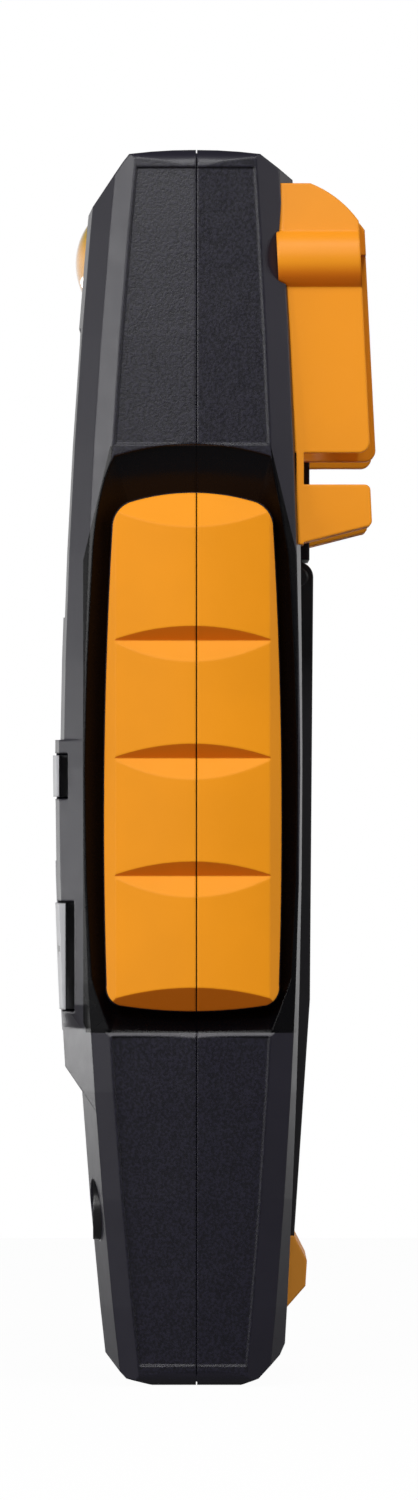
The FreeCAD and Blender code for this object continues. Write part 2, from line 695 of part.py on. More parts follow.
# display plane: the window leans back with the front face
window_tall = d.display_high - d.display_low
window_tilt = math.atan2(deck_front(d.display_low) - deck_front(d.display_high), window_tall)
window_base = Vector(0, d.window_sink - deck_front(d.display_low), d.display_low)
window_run = window_tall / math.cos(window_tilt)


def leaning(x_half, y0, y1, margin):
    """A slab parallel to the window, y measured inwards from the window's outer face."""
    def corner(y, z):
        return (window_base.y + y * math.cos(window_tilt) + z * math.sin(window_tilt),
                window_base.z - y * math.sin(window_tilt) + z * math.cos(window_tilt))
    high = window_run - margin
    return prism_x([corner(y0, margin), corner(y1, margin), corner(y1, high), corner(y0, high)],
                   -x_half, x_half)


def key_table():
    """Name, left, right, bottom and top of each key; None is the wrapped edge of the block."""
    keys = []
    half = d.small_key_wide / 2
    low = d.small_key_low
    high = low + d.small_key_tall
    gap = 2 * d.run_gap + 3.0
    keys.append(("key_hold", -half, half, low, high))
    keys.append(("key_light", None, -half - gap, low, high))
    keys.append(("key_mode", half + gap, None, low, high))
    edge = side_at(d.side_key_low) - d.facet_width - d.deck_inset - d.side_key_wide
    high = d.side_key_low + d.side_key_tall
    keys.append(("key_current", None, -edge, d.side_key_low, high))
    keys.append(("key_voltage", edge, None, d.side_key_low, high))
    half = d.cursor_wide / 2
    for index, name in enumerate(("key_down", "key_select", "key_up")):
        low = d.cursor_low + index * d.cursor_pitch
        keys.append((name, -half, half, low, low + d.cursor_tall))
    return keys


key_form = loft(raised_section(d.deck_rise + d.block_rise + d.key_proud,
                               d.deck_edge_rise + d.block_rise + d.key_proud,
                               d.deck_inset + d.block_inset - d.key_proud),
                stations(d.cursor_low - d.foot_blend, d.block_top))


def key_back(high):
    """Depth of the back of a key whose top edge is at this height."""
    return d.key_deep - block_front(high)


def wrap_start(low):
    """Where the flange of a wrapped key begins, just inside the shallow facet of the front."""
    return side_at(low) - d.facet_width - d.crown_inset


def key_region(key, gap):
    """Room of one key: a deep part, and for a wrapped key a shallow one that runs off the edge."""
    name, left, right, low, high = key
    stem_left = -wrap_start(low) - gap if left is None else left - gap
    stem_right = wrap_start(low) + gap if right is None else right + gap
    floor = key_back(high) if gap == 0 else 0
    region = block(stem_left, stem_right, -FAR, floor, low - gap, high + gap)
    flange_back = d.flange_thick - d.key_proud - block_front(low)
    if gap > 0:
        flange_back += d.key_travel + 2 * d.run_gap
    if left is None:
        region = region.fuse(block(-FAR, stem_left, -FAR, flange_back, low - gap, high + gap))
    if right is None:
        region = region.fuse(block(stem_right, FAR, -FAR, flange_back, low - gap, high + gap))
    return region


def make_key(key):
    return key_form.common(key_region(key, 0)).removeSplitter()


# ---------------------------------------------------------------- document objects

exported = []


def export(item):
    exported.append(item)
    return item


def add_shape(label, shape):
    """A sub-part whose shape comes straight from the functions above."""
    item = doc.addObject("Part::Feature", label)
    item.Shape = shape
    return export(item)


def bind(item, **expressions):
    for name, text in expressions.items():
        item.setExpression(name.replace("__", "."), text)
    return item


def add_box(label, x, y, z, dx, dy, dz):
    item = doc.addObject("Part::Box", label)
    return bind(item, Placement__Base__x=x, Placement__Base__y=y, Placement__Base__z=z,
                Length=dx, Width=dy, Height=dz)


def add_rod(label, radius, length, x, y, z, axis="z"):
    """A cylinder bound to the sheet, along +Z, +X or +Y from its base point."""
    item = doc.addObject("Part::Cylinder", label)
    turns = {"z": Rotation(), "x": Rotation(Vector(0, 1, 0), 90), "y": Rotation(Vector(1, 0, 0), -90)}
    item.Placement = Placement(Vector(), turns[axis])
    return bind(item, Placement__Base__x=x, Placement__Base__y=y, Placement__Base__z=z,
                Radius=radius, Height=length)


def add_cut(label, base, tool):
    item = doc.addObject("Part::Cut", label)
    item.Base = base
    item.Tool = tool
    return item


def add_fuse(label, items):
    item = doc.addObject("Part::MultiFuse", label)
    item.Shapes = items
    return item


def add_group(label, items):
    item = doc.addObject("Part::Compound", label)
    item.Links = items
    return item


def add_body(label):
    return export(doc.addObject("PartDesign::Body", label))


def body_plane(body, role):
    return [plane for plane in body.Origin.OriginFeatures if plane.Role == role][0]


def add_sketch(body, role, offset=None):
    sketch = body.newObject("Sketcher::SketchObject", "Sketch")
    sketch.AttachmentSupport = [(body_plane(body, role), "")]
    sketch.MapMode = "FlatFace"
    if offset:
        sketch.setExpression("AttachmentOffset.Base.z", offset)
    return sketch


def polygon_sketch(body, role, points, offset=None):
    """A closed polygon whose corners are bound to expressions, drawn first as a regular one."""
    sketch = add_sketch(body, role, offset)
    count = len(points)
    start = [Vector(math.cos(2 * math.pi * i / count), math.sin(2 * math.pi * i / count), 0)
             for i in range(count)]
    for i in range(count):
        sketch.addGeometry(Part.LineSegment(start[i], start[(i + 1) % count]), False)
    for i in range(count):
        sketch.addConstraint(Sketcher.Constraint("Coincident", i, 2, (i + 1) % count, 1))
    for i, (across, along) in enumerate(points):
        for kind, text, value in (("DistanceX", across, start[i].x), ("DistanceY", along, start[i].y)):
            index = sketch.addConstraint(Sketcher.Constraint(kind, -1, 1, i, 1, value))
            sketch.setExpression("Constraints[%d]" % index, text)
    return sketch


def circle_sketch(body, role, x, y, radius, offset=None):
    sketch = add_sketch(body, role, offset)
    sketch.addGeometry(Part.Circle(Vector(1, 1, 0), Vector(0, 0, 1), 1), False)
    for kind, text, value in (("DistanceX", x, 1), ("DistanceY", y, 1)):
        index = sketch.addConstraint(Sketcher.Constraint(kind, -1, 1, 0, 3, value))
        sketch.setExpression("Constraints[%d]" % index, text)
    index = sketch.addConstraint(Sketcher.Constraint("Radius", 0, 1))
    sketch.setExpression("Constraints[%d]" % index, radius)
    return sketch


def rectangle(low_x, low_y, high_x, high_y):
    return [(low_x, low_y), (high_x, low_y), (high_x, high_y), (low_x, high_y)]


def add_feature(body, kind, sketch, length, symmetric_about=False):
    feature = body.newObject("PartDesign::" + kind, kind)
    feature.Profile = sketch
    feature.setExpression("Length", length)
    if symmetric_about:
        feature.SideType = "Symmetric"
    return feature


# ---------------------------------------------------------------- housing halves

casing = make_casing()
cavity = make_cavity()
inside = cavity.common(block(-FAR, FAR, -FAR, FAR, 0, d.length))
front_half = block(-FAR, FAR, -FAR, 0, -FAR, 2 * d.length)
rear_half = block(-FAR, FAR, 0, FAR, -FAR, 2 * d.length)
keys = key_table()


def parting_ring(outer_inset, thick, y0, y1):
    """A ring that follows the inner edge of the wall on the parting plane."""
    def edge(inset):
        top = d.length - inset
        heights = levels(inset + d.corner_radius, top - d.corner_radius, 14)
        right = [(min(side_at(z) - inset, d.grip_floor - inset), z) for z in heights]
        left = [(-x, z) for x, z in reversed(right)]
        foot = right[0][0] - d.corner_radius
        head = right[-1][0] - d.corner_radius
        return [(foot, inset)] + right + [(head, top), (-head, top)] + left + [(-foot, inset)]
    return prism_y(edge(outer_inset), y0, y1).cut(prism_y(edge(outer_inset + thick), y0, y1))


lip_inset = 0.45 * d.wall
parting_groove = casing.common(block(-FAR, FAR, -d.parting_gap / 2, d.parting_gap / 2,
                                     -FAR, 2 * d.length))


def jack_spots():
    return [(i - 1.5) * d.jack_pitch for i in range(4)]


def screw_boss(x, z, radius, y0, y1):
    return rod(radius, (x, y0, z), (0, 1, 0), y1 - y0)


boss_radius = d.screw_shank + d.boss_wall
thread_radius = d.screw_shank + d.pin_gap
jack_face = lower_front(d.jack_height)

front = casing.common(front_half).cut(inside)
front_rings = [leaning(d.window_wide / 2 + d.window_ledge, d.window_thick, d.wall + d.window_ledge,
                       -d.window_ledge)]
front_bosses = [screw_boss(x, z, boss_radius, -deck_front(z) + d.wall / 2, 0)
                for x, z in screw_spots()]
front = front.fuse([ring.common(casing) for ring in front_rings + front_bosses])
front_cuts = [
    leaning(d.window_wide / 2 + d.fit_gap, -d.wall, d.window_thick + d.fit_gap, -d.fit_gap),
    leaning(d.window_wide / 2 - d.window_ledge, -d.wall, 3 * d.wall, d.window_ledge),
    parting_ring(lip_inset - d.fit_gap, d.lip_thick + 2 * d.fit_gap, -d.lip_tall - d.seal_wire, 0),
]
front_cuts += [rod(thread_radius, (x, -d.screw_length + d.screw_seat - d.fit_gap, z), (0, 1, 0), FAR)
               for x, z in screw_spots()]
front_cuts += [rod(d.shroud_outer + d.fit_gap, (x, -FAR, d.jack_height), (0, 1, 0), FAR)
               for x in jack_spots()]
front_cuts += [key_region(key, d.run_gap) for key in keys]

badge_slope = math.atan2(deck_front(d.badge_height - 1) - deck_front(d.badge_height + 1), 2)
badge_out = Vector(0, -math.cos(badge_slope), math.sin(badge_slope))
badge_spot = Vector(0, -deck_front(d.badge_height), d.badge_height)
badge_sink = d.wall / 2
front_cuts.append(Part.makeCylinder(d.badge_radius + d.fit_gap, FAR, badge_spot - badge_out * badge_sink,
                                    badge_out))
for tool in front_cuts:
    front = front.cut(tool)
skin = casing.cut(loft(lambda z: [(x * (1 - d.parting_depth / d.side_middle), y)
                                  for x, y in body_section(z)],
                       stations(d.parting_depth, d.length - d.parting_depth)))
groove_skin = parting_groove.common(skin)
front = front.cut(groove_skin)
add_shape("front_shell", front)

rear = casing.common(rear_half).cut(inside)
pocket = stand_pocket()
hinge_back = block(-d.stand_half - 2 * d.pin_length, d.stand_half + 2 * d.pin_length,
                   hinge_depth - d.hinge_radius - d.wall, FAR,
                   d.hinge_height - d.hinge_radius - d.wall, d.hinge_height + d.hinge_radius + d.wall)
foot_back = block(-d.foot_half - d.wall, d.foot_half + d.wall, foot_inner - d.wall, FAR,
                  foot_low_z - d.wall, d.stand_low + d.wall)
door_screw_z = d.tray_high + d.door_tab * 0.6
door_back = [block(x - d.small_head - d.tray_wall, x + d.small_head + d.tray_wall,
                   d.rear_ridge_middle - d.small_length - 2 * d.door_thick, FAR,
                   d.tray_high, d.tray_high + d.door_tab + d.tray_wall)
             for x in (-d.door_screw_side, d.door_screw_side)]
holder_screw_z = [d.holder_bottom + share * (d.holder_corner - d.holder_bottom) for share in (0.25, 0.8)]
holder_bosses = [screw_boss(0, z, d.small_head + d.fit_gap, rear_face(z) - d.wall - d.small_length, FAR)
                 for z in holder_screw_z]
rear_bosses = [screw_boss(x, z, boss_radius, 0, FAR) for x, z in screw_spots()]
extra = [hinge_back, foot_back, tray_outer()] + door_back + holder_bosses + rear_bosses
rear = rear.fuse([item.common(casing) for item in extra])
spine = block(-d.spine_half, d.spine_half, hinge_depth, d.spine_outer,
              d.hinge_height + d.hinge_radius + d.run_gap, d.holder_bottom + 1.0)
rear = rear.fuse(spine)


def door_outline(grow):
    """Battery door: its outer face is the floor of the pocket that holds the stand."""
    half = tray_half + d.door_ledge + grow
    low = tray_low - d.door_ledge - grow
    high = d.tray_high + d.door_tab + grow
    outer = [(stand_inner(z) - d.run_gap, z) for z in (low, d.stand_bend, high)]
    inner = [(y - d.door_thick, z) for y, z in reversed(outer)]
    return prism_x(outer + inner, -half, half)


def door_screw_tools(radius, y0, y1):
    return [rod(radius, (x, y0, door_screw_z), (0, 1, 0), y1 - y0)
            for x in (-d.door_screw_side, d.door_screw_side)]


door_face = stand_inner(door_screw_z) - d.run_gap
door_seat = door_face - d.small_head_tall - 0.1
rear_cuts = [pocket, tray_inner(), door_outline(d.fit_gap)]
rear_cuts += [rod(thread_radius, (x, -FAR, z), (0, 1, 0), 2 * FAR) for x, z in screw_spots()]
rear_cuts += [rod(d.screw_head + d.fit_gap, (x, d.screw_seat, z), (0, 1, 0), FAR)
              for x, z in screw_spots()]
rear_cuts += door_screw_tools(d.small_shank + d.pin_gap, door_seat - d.small_length - d.fit_gap, FAR)
rear_cuts += [rod(d.small_shank + d.pin_gap, (0, rear_face(z) - d.small_length, z), (0, 1, 0), FAR)
              for z in holder_screw_z]
rear_cuts.append(groove_skin)
for tool in rear_cuts:
    rear = rear.cut(tool)
tongue = parting_ring(lip_inset, d.lip_thick, -d.lip_tall, 0)
rear = rear.fuse(tongue)
add_shape("rear_shell", rear)
seal = parting_ring(lip_inset, d.lip_thick, -d.lip_tall - d.seal_wire, -d.lip_tall)
add_shape("housing_seal", seal)


# ---------------------------------------------------------------- grips

def make_grip():
    """The +X grip as one piece: crowned pad, bevelled border, sloping ends and finger grooves."""
    pad = prism_x(grip_outline(), d.grip_floor, FAR)
    edge = d.grip_height - d.grip_shoulder_drop
    rim = edge - d.grip_border_drop
    crown = prism_z([
        (0, -FAR), (rim - FAR + d.grip_front, -FAR), (rim, -d.grip_front),
        (edge, d.grip_border - d.grip_front), (d.grip_height, 0, "via"),
        (edge, d.grip_rear - d.grip_border), (rim, d.grip_rear),
        (rim - FAR + d.grip_rear, FAR), (0, FAR),
    ], 0, d.length)
    fall = 4.6
    ends = prism_y([
        (0, d.grip_bottom - 1), (rim - 1, d.grip_bottom - 1), (d.grip_height, d.grip_bottom + 3.2),
        (d.grip_height + 1, d.grip_bottom + 4.2), (d.grip_height + 1, d.grip_top - fall - 1),
        (d.grip_height, d.grip_top - fall), (rim, d.grip_top), (0, d.grip_top + 1),
    ], -FAR, FAR)
    grip = pad.common(crown).common(ends)
    reach = 4.0
    for index in range(3):
        z = d.groove_low + index * d.groove_pitch
        grip = grip.cut(prism_y([
            (d.groove_floor, z), (d.groove_floor + reach, z + reach * d.groove_upper),
            (d.groove_floor + reach, z - reach * d.groove_lower),
        ], -FAR, FAR))
    return grip


grip = make_grip()
slit = d.parting_gap / 2
grip_front_half = grip.common(block(-FAR, FAR, -FAR, -slit, 0, d.length))
grip_rear_half = grip.common(block(-FAR, FAR, slit, FAR, 0, d.length))
add_shape("grip_front_right", grip_front_half)
add_shape("grip_rear_right", grip_rear_half)
add_shape("grip_front_left", mirrored(grip_front_half))
add_shape("grip_rear_left", mirrored(grip_rear_half))


# ---------------------------------------------------------------- badge, window, display stack

ball = (d.badge_radius ** 2 + d.badge_rise ** 2) / (2 * d.badge_rise)
badge_tube = Part.makeCylinder(d.badge_radius, badge_sink + d.badge_rise,
                               badge_spot - badge_out * badge_sink, badge_out)
badge_ball = Part.makeSphere(ball, badge_spot + badge_out * (d.badge_rise - ball))
badge_disc = Part.makeCylinder(d.badge_radius, badge_sink, badge_spot - badge_out * badge_sink,
                               badge_out)
add_shape("badge_dome", badge_tube.common(badge_ball).fuse(badge_disc).removeSplitter())

add_shape("display_window", leaning(d.window_wide / 2, 0, d.window_thick, 0))
cell_half = d.window_wide / 2 - d.window_ledge - d.fit_gap
cell_margin = d.window_ledge + d.fit_gap
cell_front = d.window_thick + d.fit_gap
cell_back = cell_front + d.lcd_thick
add_shape("lcd_panel", leaning(cell_half, cell_front, cell_back, cell_margin))
add_shape("backlight", leaning(cell_half, cell_back, cell_back + d.light_thick, cell_margin))
frame_front = d.wall + d.window_ledge
frame_block = leaning(cell_half + d.frame_wall + d.fit_gap, frame_front, FAR,
                      cell_margin - d.frame_wall - d.fit_gap)
frame_hole = leaning(cell_half + d.fit_gap, -FAR, FAR, cell_margin - d.fit_gap)
before_board = block(-FAR, FAR, -FAR, -d.board_front, 0, d.length)
add_shape("lcd_frame", frame_block.cut(frame_hole).common(before_board))
zebra = leaning(cell_half, cell_back + d.light_thick, FAR, cell_margin).common(before_board)
zebra = zebra.common(block(-FAR, FAR, -FAR, FAR, 0, d.display_low + d.window_ledge + d.zebra_tall))
add_shape("lcd_connector", zebra)

for key in keys:
    add_shape(key[0], make_key(key))


# ---------------------------------------------------------------- board and what it carries

board = add_body("main_board")
outline_sketch = polygon_sketch(board, "XZ_Plane", rectangle(
    "-Sizes.board_half", "Sizes.board_low", "Sizes.board_half", "Sizes.board_high"),
    "Sizes.board_front - Sizes.board_thick")
add_feature(board, "Pad", outline_sketch, "Sizes.board_thick")


def board_hole(x, z, radius):
    sketch = circle_sketch(board, "XZ_Plane", x, z, radius, "Sizes.board_front + 1")
    add_feature(board, "Pocket", sketch, "Sizes.board_thick + 2")


for side in ("-", ""):
    for height in ("Sizes.screw_low", "Sizes.screw_high"):
        board_hole(side + "Sizes.screw_side", height,
                   "Sizes.screw_shank + Sizes.boss_wall + Sizes.fit_gap")
for step in ("-1.5", "-0.5", "0.5", "1.5"):
    board_hole(step + " * Sizes.jack_pitch", "Sizes.jack_height",
               "Sizes.shroud_outer + Sizes.fit_gap")

mat_base = block(-d.small_key_wide * 1.7, d.small_key_wide * 1.7, -d.board_front - d.mat_thick,
                 -d.board_front, d.cursor_low, d.small_key_low + d.small_key_tall)
domes = []
for name, left, right, low, high in keys:
    left = -wrap_start(low) if left is None else left
    right = wrap_start(low) if right is None else right
    dome_start = key_back(high) + d.key_travel + d.run_gap
    middle = (left + right) / 2
    height = (low + high) / 2
    domes.append(block(middle - d.dome_half, middle + d.dome_half, dome_start, -d.board_front,
                       height - d.dome_half, height + d.dome_half))
add_shape("key_mat", mat_base.fuse(domes))


def jack_group(label, rings):
    """Four copies of a turned piece, each ring given as outer and inner radius, start and length."""
    pieces = []
    for step in ("-1.5", "-0.5", "0.5", "1.5"):
        x = step + " * Sizes.jack_pitch"
        tubes = []
        for outer, inner, start, length in rings:
            solid = add_rod("Outer", outer, length, x, start, "Sizes.jack_height", "y")
            hole = add_rod("Inner", inner, length, x, start, "Sizes.jack_height", "y")
            tubes.append(add_cut("Ring", solid, hole))
        pieces.append(tubes[0] if len(tubes) == 1 else add_fuse("Turned", tubes))
    return export(add_group(label, pieces))


row = len(names) + 1
sheet.set("A%d" % row, "depth of the lower front face at the jacks")
sheet.set("B%d" % row, str(jack_face))
sheet.setAlias("B%d" % row, "jack_face")
doc.recompute()
sleeve_start = "-Sizes.jack_face + Sizes.jack_sink"
jack_group("jack_sleeves", [
    ("Sizes.jack_bore + Sizes.jack_wall", "Sizes.jack_bore", sleeve_start, "Sizes.jack_length"),
])
shroud_start = "-Sizes.jack_face + Sizes.run_gap"
shroud_long = "Sizes.jack_sink + Sizes.jack_length - Sizes.run_gap - Sizes.shroud_floor"
jack_group("jack_insulators", [
    ("Sizes.shroud_outer", "Sizes.shroud_inner", shroud_start, shroud_long),
    ("Sizes.shroud_outer", "Sizes.jack_bore + Sizes.jack_wall",
     shroud_start + " + " + shroud_long, "Sizes.shroud_floor"),
])

board_back = "-Sizes.board_front + Sizes.board_thick"
clip_lift = board_back + " + Sizes.clip_thick"
for kind in ("large", "small"):
    radius = "Sizes.%s_fuse_radius" % kind
    export(add_rod("fuse_10a" if kind == "large" else "fuse_small", radius,
                   "Sizes.%s_fuse_length" % kind, "-Sizes.%s_fuse_length / 2" % kind,
                   clip_lift + " + " + radius, "Sizes.%s_fuse_height" % kind, "x"))
clips = []
for kind in ("large", "small"):
    radius = "Sizes.%s_fuse_radius" % kind
    height = "Sizes.%s_fuse_height" % kind
    for x in ("-Sizes.%s_fuse_length / 2" % kind,
              "Sizes.%s_fuse_length / 2 - Sizes.clip_wide" % kind):
        outer = add_box("ClipBlock", x, board_back, "%s - %s - Sizes.clip_thick" % (height, radius),
                        "Sizes.clip_wide", radius + " * 1.4", "2 * (%s + Sizes.clip_thick)" % radius)
        inner = add_box("ClipRoom", x, clip_lift, "%s - %s" % (height, radius),
                        "Sizes.clip_wide", radius + " * 2", "2 * " + radius)
        clips.append(add_cut("Clip", outer, inner))
export(add_group("fuse_clips", clips))

shunt_low = "Sizes.jack_height + 2 * Sizes.shroud_outer"
shunt_outer = add_box("ShuntBlock", "-Sizes.shunt_span / 2", board_back, shunt_low,
                      "Sizes.shunt_span", "Sizes.shunt_rise", "Sizes.shunt_wide")
shunt_room = add_box("ShuntRoom", "-Sizes.shunt_span / 2 + Sizes.shunt_thick", board_back,
                     shunt_low, "Sizes.shunt_span - 2 * Sizes.shunt_thick",
                     "Sizes.shunt_rise - Sizes.shunt_thick", "Sizes.shunt_wide")
shunt = export(add_cut("current_shunt", shunt_outer, shunt_room))

resistors = [add_rod("Resistor", "Sizes.resistor_radius", "Sizes.resistor_length",
                     "%d * (Sizes.jack_pitch + Sizes.resistor_radius)" % index
                     + " - Sizes.resistor_length / 2",
                     board_back + " + Sizes.resistor_radius", "Sizes.resistor_height", "x")
             for index in (-1, 0, 1)]
export(add_group("input_resistors", resistors))
export(add_rod("buzzer", "Sizes.buzzer_radius", "Sizes.buzzer_tall", "0", board_back,
               "Sizes.buzzer_height", "y"))
export(add_box("measuring_chip", "-Sizes.chip_wide / 2", board_back,
               "Sizes.chip_height - Sizes.chip_wide / 2", "Sizes.chip_wide", "Sizes.chip_thick",
               "Sizes.chip_wide"))
export(add_rod("crystal", "Sizes.crystal_radius", "Sizes.crystal_length", "Sizes.chip_wide",
               board_back + " + Sizes.crystal_radius", "Sizes.chip_height", "x"))


# ---------------------------------------------------------------- batteries, springs and contacts

cells = []
springs = []
for index in (-1, 0, 1):
    x = "%d * Sizes.cell_pitch" % index
    can = add_rod("Can", "Sizes.cell_radius", "Sizes.cell_length", x, "Sizes.cell_depth",
                  "Sizes.cell_low")
    nub = add_rod("Nub", "Sizes.cell_radius / 3", "Sizes.cell_nub", x, "Sizes.cell_depth",
                  "Sizes.cell_low + Sizes.cell_length")
    cells.append(add_fuse("Cell", [can, nub]))
    loop = add_box("Loop", x + " - Sizes.spring_half", "Sizes.cell_depth - Sizes.spring_half",
                   "Sizes.cell_low - Sizes.spring_tall", "2 * Sizes.spring_half",
                   "2 * Sizes.spring_half", "Sizes.spring_tall")
    inside_loop = add_box("LoopRoom", x + " - Sizes.spring_half + Sizes.spring_thick",
                          "Sizes.cell_depth - Sizes.spring_half",
                          "Sizes.cell_low - Sizes.spring_tall + Sizes.spring_thick",
                          "2 * (Sizes.spring_half - Sizes.spring_thick)",
                          "2 * Sizes.spring_half", "Sizes.spring_tall - 2 * Sizes.spring_thick")
    springs.append(add_cut("Spring", loop, inside_loop))
export(add_group("batteries", cells))
export(add_group("battery_springs", springs))
plate_half = "(Sizes.cell_pitch + Sizes.cell_radius)"
plates = [
    add_box("Plate", "-" + plate_half, "Sizes.cell_depth - Sizes.cell_radius", z,
            "2 * " + plate_half, "2 * Sizes.cell_radius", "Sizes.contact_thick")
    for z in ("Sizes.cell_low - Sizes.spring_tall - Sizes.contact_thick",
              "Sizes.cell_low + Sizes.cell_length + Sizes.cell_nub")
]
export(add_group("battery_contacts", plates))

door = door_outline(0)
for tool in door_screw_tools(d.small_shank + d.fit_gap, -FAR, 2 * FAR):
    door = door.cut(tool)
for tool in door_screw_tools(d.small_head + d.fit_gap, door_seat, FAR):
    door = door.cut(tool)
add_shape("battery_door", door)


# ---------------------------------------------------------------- screws

def screw(head, head_tall, shank, length, seat, driver):
    """A cap screw along Y with a cross recess, its head towards +Y."""
    x, y, z = seat
    body = rod(head, (x, y, z), (0, 1, 0), head_tall).fuse(
        rod(shank, (x, y - length, z), (0, 1, 0), length))
    slot = head * 0.55
    for half_x, half_z in ((slot, driver), (driver, slot)):
        body = body.cut(block(x - half_x, x + half_x, y + head_tall / 2, FAR,
                              z - half_z, z + half_z))
    return body


def screw_set(label, head, head_tall, shank, length, seats):
    solids = [screw(head, head_tall, shank, length, seat, shank / 5) for seat in seats]
    add_shape(label, Part.makeCompound(solids))


screw_set("housing_screws", d.screw_head, d.screw_head_tall, d.screw_shank, d.screw_length,
          [(x, d.screw_seat, z) for x, z in screw_spots()])
screw_set("battery_door_screws", d.small_head, d.small_head_tall, d.small_shank, d.small_length,
          [(x, door_seat, door_screw_z) for x in (-d.door_screw_side, d.door_screw_side)])


# ---------------------------------------------------------------- stand

leg = add_body("stand_leg")
inner_low = "Sizes.stand_outer_low - Sizes.stand_thick"
inner_bend = "Sizes.stand_outer_bend - Sizes.stand_thick"
inner_high = "Sizes.stand_outer_high - Sizes.stand_thick"
plate_sketch = polygon_sketch(leg, "YZ_Plane", [
    (inner_low, "Sizes.stand_low"), ("Sizes.stand_outer_low", "Sizes.stand_low"),
    ("Sizes.stand_outer_bend", "Sizes.stand_bend"), ("Sizes.stand_outer_high", "Sizes.hinge_height"),
    (inner_high, "Sizes.hinge_height"), (inner_bend, "Sizes.stand_bend"),
])
add_feature(leg, "Pad", plate_sketch, "2 * Sizes.stand_half", True)
hinge_y = "Sizes.stand_outer_high - Sizes.hinge_radius"
barrel_sketch = circle_sketch(leg, "YZ_Plane", hinge_y, "Sizes.hinge_height", "Sizes.hinge_radius")
add_feature(leg, "Pad", barrel_sketch, "2 * Sizes.stand_half", True)
pin_sketch = circle_sketch(leg, "YZ_Plane", hinge_y, "Sizes.hinge_height", "Sizes.pin_radius")
add_feature(leg, "Pad", pin_sketch,
            "2 * (Sizes.stand_half + Sizes.run_gap + Sizes.pin_length - Sizes.fit_gap)", True)
window_sketch = polygon_sketch(leg, "XZ_Plane", rectangle(
    "-Sizes.stand_window", "Sizes.stand_low + Sizes.stand_window", "Sizes.stand_window",
    "Sizes.stand_bend + Sizes.stand_window"), "-2 * Sizes.stand_outer_high")
window_cut = add_feature(leg, "Pocket", window_sketch, "2 * Sizes.stand_outer_high")
window_cut.Reversed = True

foot = add_body("stand_foot")
row = len(names) + 2
sheet.set("A%d" % row, "inner face of the stand foot")
sheet.set("B%d" % row, str(foot_inner))
sheet.setAlias("B%d" % row, "foot_inner")
doc.recompute()
foot_low = "Sizes.stand_low - Sizes.foot_tall"
foot_sketch = polygon_sketch(foot, "YZ_Plane", [
    ("Sizes.foot_inner", foot_low),
    ("Sizes.foot_inner + Sizes.foot_heel", foot_low + " + Sizes.foot_heel_up"),
    ("Sizes.foot_inner + Sizes.foot_face", foot_low + " + Sizes.foot_face_up"),
    ("Sizes.stand_outer_low", "Sizes.stand_low"), (inner_low, "Sizes.stand_low"),
    ("Sizes.foot_inner", "Sizes.stand_low - Sizes.foot_lap"),
])
add_feature(foot, "Pad", foot_sketch, "2 * Sizes.foot_half", True)


# ---------------------------------------------------------------- probe holder

def holder_block():
    """Side view of the block that takes the probe bodies."""
    low = d.holder_bottom
    outer = d.holder_outer_bottom
    corner = (d.holder_outer_top, d.holder_corner)
    rim = (rear_ridge(d.holder_top) + d.holder_rim, d.holder_top)
    cut = d.holder_round * (1 - math.sqrt(0.5))
    return [
        (rear_ridge(low), low), (outer - d.holder_round, low), (outer - cut, low + cut, "via"),
        (outer, low + d.holder_round), corner, bowed(corner, rim, -d.holder_bow), rim,
        (rear_ridge(d.holder_top), d.holder_top),
    ]


def holder_hook():
    """Side view of the hook below it that the finger guards of the probes rest on."""
    low = d.hook_bottom
    top = d.hook_top
    outer = d.hook_outer
    root = rear_ridge(low)
    inset = d.hook_round
    cut = inset * (1 - math.sqrt(0.5))
    end = outer - d.hook_lean
    return [
        (root, low), (outer - inset, low + d.hook_rise),
        (outer - cut, low + d.hook_rise + cut, "via"), (outer, low + d.hook_rise + inset),
        (end, top - inset), (end - cut, top - cut, "via"), (end - inset, top), (root, top),
    ]


def holder_sides():
    """Front view of the holder: straight arms with a thumb bulge, tapering in above it."""
    side = d.holder_side
    middle = (d.bulge_low + d.bulge_high) / 2
    return [
        (0, 0), (side, 0), (side, d.bulge_low), (side + d.bulge_rise, middle, "via"),
        (side + d.bulge_step, d.bulge_high), (side - d.arm_draw, d.length), (0, d.length),
    ]


def make_holder():
    width = prism_y(holder_sides(), 0, FAR)
    body = prism_x(holder_block(), d.holder_inner, FAR)
    arm = body.translated(Vector(0, -d.arm_back, d.arm_short))
    upper = block(0, FAR, 0, FAR, 0, d.holder_top)
    body = body.common(block(0, d.probe_side, 0, FAR, 0, d.length)).fuse(
        arm.common(block(d.probe_side, FAR, 0, FAR, 0, d.length)).common(upper))
    hook = prism_x(holder_hook(), d.holder_inner, FAR)
    strip = block(d.holder_inner, FAR, rear_ridge(d.hook_bottom), d.strip_outer, d.hook_bottom,
                  d.holder_bottom + d.arm_short)
    one = body.fuse([hook, strip]).common(width)
    channel = rod(d.probe_radius, (d.probe_side, d.probe_depth, 0), (0, 0, 1), d.probe_stop)
    mouth = block(d.probe_side - d.probe_mouth, d.probe_side + d.probe_mouth, d.probe_depth, FAR,
                  0, d.probe_stop)
    one = one.cut(channel).cut(mouth)
    saddle = block(-d.holder_inner, d.holder_inner, rear_ridge(d.holder_corner),
                   rear_face(d.holder_bottom) + d.saddle_thick - d.wall / 2,
                   d.holder_bottom + 1.0 + d.run_gap, d.holder_corner)
    return one.fuse([mirrored(one), saddle]).cut(casing).cut(spine)


holder = make_holder()
holder_seats = []
for z in holder_screw_z:
    face = rear_face(d.holder_bottom) + d.saddle_thick - d.wall / 2
    seat = face - d.small_head_tall
    holder = holder.cut(rod(d.small_shank + d.fit_gap, (0, 0, z), (0, 1, 0), FAR))
    holder = holder.cut(rod(d.small_head + d.fit_gap, (0, seat, z), (0, 1, 0), FAR))
    holder_seats.append((0, seat, z))
add_shape("probe_holder", holder.removeSplitter())
screw_set("holder_screws", d.small_head, d.small_head_tall, d.small_shank, d.small_length,
          holder_seats)


